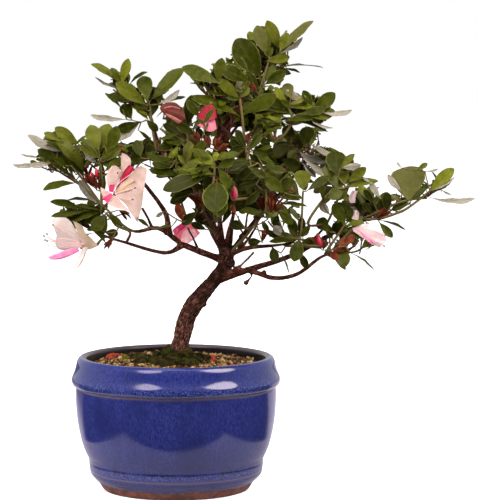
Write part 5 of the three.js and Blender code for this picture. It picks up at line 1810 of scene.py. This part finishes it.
def makeMound():
    build = bmesh.new()
    rings = mossSet["rings"]
    for mound in mossMounds:
        wide = mound[2] * mossSet["wider"]
        disc = turnedShape([(wide * i / rings, 0) for i in range(rings + 1)], mossSet["sides"])
        for vertex in disc.verts:
            x, y = vertex.co.x / mm + mound[0], vertex.co.y / mm + mound[1]
            vertex.co = Vector((x, y, moundHeight(mound, x, y))) * mm
        disc.normal_update()
        if sum(face.normal.z for face in disc.faces) < 0:
            bmesh.ops.reverse_faces(disc, faces=disc.faces)
        build.from_mesh(meshFrom(disc))
    mesh = meshFrom(build)
    mesh.shade_smooth()
    return mesh


def mossBlades(count):
    blades = []
    wide, probe, stray = mossSet["width"], mossSet["probe"], mossSet["stray"]
    areas = np.array([mound[2] ** 2 for mound in mossMounds], float)
    picks = rng.choice(len(mossMounds), size=mossSet["tries"] * count, p=areas / areas.sum())
    for pick in picks:
        middleX, middleY, radius, _ = mossMounds[pick]
        away, turn = math.sqrt(rng.uniform()) * radius, rng.uniform(0, 2 * math.pi)
        x, y = middleX + away * math.cos(turn), middleY + away * math.sin(turn)
        height = mossHeight(x, y)
        foot = Vector((x, y, height - mossSet["sink"]))
        if height < soilHeight(x, y) or touchesLimb(foot, mossSet["room"]):
            continue
        slope = Vector((mossHeight(x - probe, y) - mossHeight(x + probe, y),
                        mossHeight(x, y - probe) - mossHeight(x, y + probe), 2 * probe))
        way = (slope.normalized() + Vector(rng.uniform(-stray, stray, 3))).normalized()
        side, front = crossFrame(way) if abs(way.y) < mossSet["upright"] else (Vector((1, 0, 0)), up)
        corners = [foot + side * wide * aside + front * wide * ahead for aside, ahead in mossSet["corners"]]
        blades.append([*corners, foot + way * rng.uniform(*mossSet["length"])])
        if len(blades) == count:
            break
    return np.array([[tuple(point) for point in blade] for blade in blades])


mossFinish = finishes({
    "ground": ((26, 24, 9), (40, 32, 16), (0.9, 1.0)), "dark": ((29, 31, 7), (40, 39, 11), (0.8, 0.95)),
    "dry": ((54, 40, 16), (72, 53, 24), (0.8, 0.95)), "fresh": ((54, 64, 14), (70, 76, 24), (0.8, 0.95)),
}, patches=300, grain=2000, bump=0.4, specular=0.2)
bladePoints = mossBlades(mossSet["blades"])
bladeFaces = [(0, 1, 3), (1, 2, 3), (2, 0, 3)]
bladeTufts = np.array([noise.noise(Vector(blade[0]) / mossSet["tuft"]) for blade in bladePoints])
bladeTufts += rng.uniform(-mossSet["mixing"], mossSet["mixing"], len(bladePoints))
bladeRank = (np.argsort(np.argsort(bladeTufts)) + 0.5) / len(bladePoints)
mossPieces = [addPiece("mossMound", makeMound(), mottledMaterial("mossGround", mossFinish["ground"]))]
for kind, own in dealOut(bladePoints, bladeRank, mossSet["shares"]):
    made = mottledMaterial(f"{kind}Moss", mossFinish[kind])
    mossPieces.append(addPiece(f"{kind}Moss", copiesMesh(own, bladeFaces), made))
for piece in mossPieces:
    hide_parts("moss")
print("moss", len(bladePoints))

# Studio, in metres: a pale floor that brightens away from the pot, soft boxes, and a room that the glaze
# mirrors
studio = {
    "floorRadius": 8.0, "floorSides": 96, "floorDrop": 0.0004, "floorRough": 0.9, "floorSpecular": 0.1,
    "floorColour": (0.9, 0.9, 0.9, 1), "mirrored": (0.55, 0.49, 0.58, 1),
    "mirroredLeft": (0.2, 0.17, 0.22, 1), "leftSoft": (-0.17, -0.45),
    "near": 0.1, "far": 0.9, "glow": (0.5, 0.75),
    "table": (0.166, 0.139),       # half width and front of the part that is bright in mirror images
    "tableSoft": 0.008, "backSlope": 0.8, "backSoft": 0.1, "beyond": (0.02, 0.02, 0.03, 1),
    # turn, lift, distance, width, height, power and colour of each lamp
    "boxes": [(-33, 39, 1.7, 0.75, 0.75, 15.0, (1, 1, 1)), (54, 39, 1.7, 1.05, 1.05, 40.0, (1, 1, 1)),
              (-68, 24, 1.8, 1.0, 1.0, 36.0, (1, 1, 1)), (170, 24, 1.8, 1.2, 1.2, 16.0, (1, 1, 1))],
    "cards": [(-35, 39, 1.7, 0.8, 1.0, 16.5, (1, 0.86, 0.84)),
              (59, 39, 1.7, 1.1, 1.25, 41.0, (1, 0.87, 0.84))],
    "top": (0, 80, 1.9, 1.2, 1.2, 12.0, (1, 1, 1)),
    "aim": (0.03, 0, 0.2), "ambient": 0.46, "bounce": (0.3, 0.3, 0.3, 1),
    "room": (-0.8, 0.2, 0.04, 0.75), "ceiling": 0.45, "ceilingEdge": (0.3, 0.65), "white": (1, 1, 1, 1),
}


# The floor: in the glaze's mirror image only a table's worth of it is bright
def makeFloor():
    build = bmesh.new()
    bmesh.ops.create_circle(build, cap_ends=True, segments=studio["floorSides"], radius=studio["floorRadius"])
    bmesh.ops.translate(build, verts=build.verts, vec=(0, 0, -studio["floorDrop"]))
    mesh = meshFrom(build)
    finish = {"Roughness": studio["floorRough"], "Specular IOR Level": studio["floorSpecular"]}
    material, tree, shader = newMaterial("floor", **finish)
    place = objectPlace(tree)
    split = addNode(tree, "ShaderNodeSeparateXYZ")
    tree.links.new(place, split.inputs[0])
    x, y = split.outputs["X"], split.outputs["Y"]
    halfWidth, front = studio["table"]
    aside = addMath(tree, "ABSOLUTE", x)
    ahead = addMath(tree, "MULTIPLY", y, -1.0)
    past = addMath(tree, "MAXIMUM", addMath(tree, "SUBTRACT", aside, halfWidth),
                   addMath(tree, "SUBTRACT", ahead, front))
    back = addMath(tree, "SUBTRACT", addMath(tree, "MULTIPLY", aside, studio["backSlope"]), y)
    past = addMath(tree, "MINIMUM", past, addMath(tree, "MULTIPLY", back, studio["backSoft"]))
    rays = addNode(tree, "ShaderNodeLightPath").outputs
    dim = addMath(tree, "MULTIPLY", mapRange(tree, past, 0, studio["tableSoft"]), rays["Is Glossy Ray"])
    seen = mixOf(tree, rays["Is Diffuse Ray"], studio["floorColour"], studio["bounce"])
    mirrored = mixOf(tree, mapRange(tree, x, *studio["leftSoft"]), studio["mirrored"], studio["mirroredLeft"])
    seen = mixOf(tree, rays["Is Glossy Ray"], seen, mirrored)
    tree.links.new(mixOf(tree, dim, seen, studio["beyond"]), shader.inputs["Base Color"])
    length = addNode(tree, "ShaderNodeVectorMath", operation="LENGTH")
    tree.links.new(place, length.inputs[0])
    glow = mapRange(tree, length.outputs["Value"], studio["near"], studio["far"], *studio["glow"])
    shader.inputs["Emission Color"].default_value = studio["white"]
    tree.links.new(addMath(tree, "MULTIPLY", glow, rays["Is Camera Ray"]), shader.inputs["Emission Strength"])
    mesh.materials.append(material)
    floor = addObject("floor", mesh)


def addSoftBox(turn, lift, away, wide, tall, power, colour, matt=True, mirrored=True):
    data = bpy.data.lights.new("softBox", "AREA")
    data.shape = "RECTANGLE" if matt else "ELLIPSE"
    data.size, data.size_y = wide, tall
    data.energy, data.color = power, colour
    box = addObject("softBox", data)
    turn, lift = math.radians(turn), math.radians(lift)
    way = Vector((math.sin(turn) * math.cos(lift), -math.cos(turn) * math.cos(lift), math.sin(lift)))
    box.location = Vector(studio["aim"]) + way * away
    box.rotation_euler = way.to_track_quat("Z", "Y").to_euler()
    box.visible_diffuse, box.visible_glossy = matt, mirrored


# White to the camera, an even light on everything matt, and a dim room in mirror images
def makeSurround():
    world = bpy.data.worlds.new("surround")
    scene.world = world
    world.use_nodes = True
    tree = world.node_tree
    back = tree.nodes["Background"]
    coords = addNode(tree, "ShaderNodeTexCoord")
    split = addNode(tree, "ShaderNodeSeparateXYZ")
    tree.links.new(coords.outputs["Generated"], split.inputs[0])
    rays = addNode(tree, "ShaderNodeLightPath").outputs
    around = mapRange(tree, split.outputs["Y"], *studio["room"])
    above = mapRange(tree, split.outputs["Z"], *studio["ceilingEdge"])
    room = mixOf(tree, above, around, studio["ceiling"], kind="FLOAT")
    strength = mixOf(tree, rays["Is Glossy Ray"], studio["ambient"], room, kind="FLOAT")
    strength = mixOf(tree, rays["Is Camera Ray"], strength, 1.0, kind="FLOAT")
    back.inputs["Color"].default_value = studio["white"]
    tree.links.new(strength, back.inputs["Strength"])


makeFloor()
for boxSet in studio["boxes"]:
    addSoftBox(*boxSet, mirrored=False)
for boxSet in studio["cards"]:
    addSoftBox(*boxSet, matt=False)
addSoftBox(*studio["top"])
makeSurround()
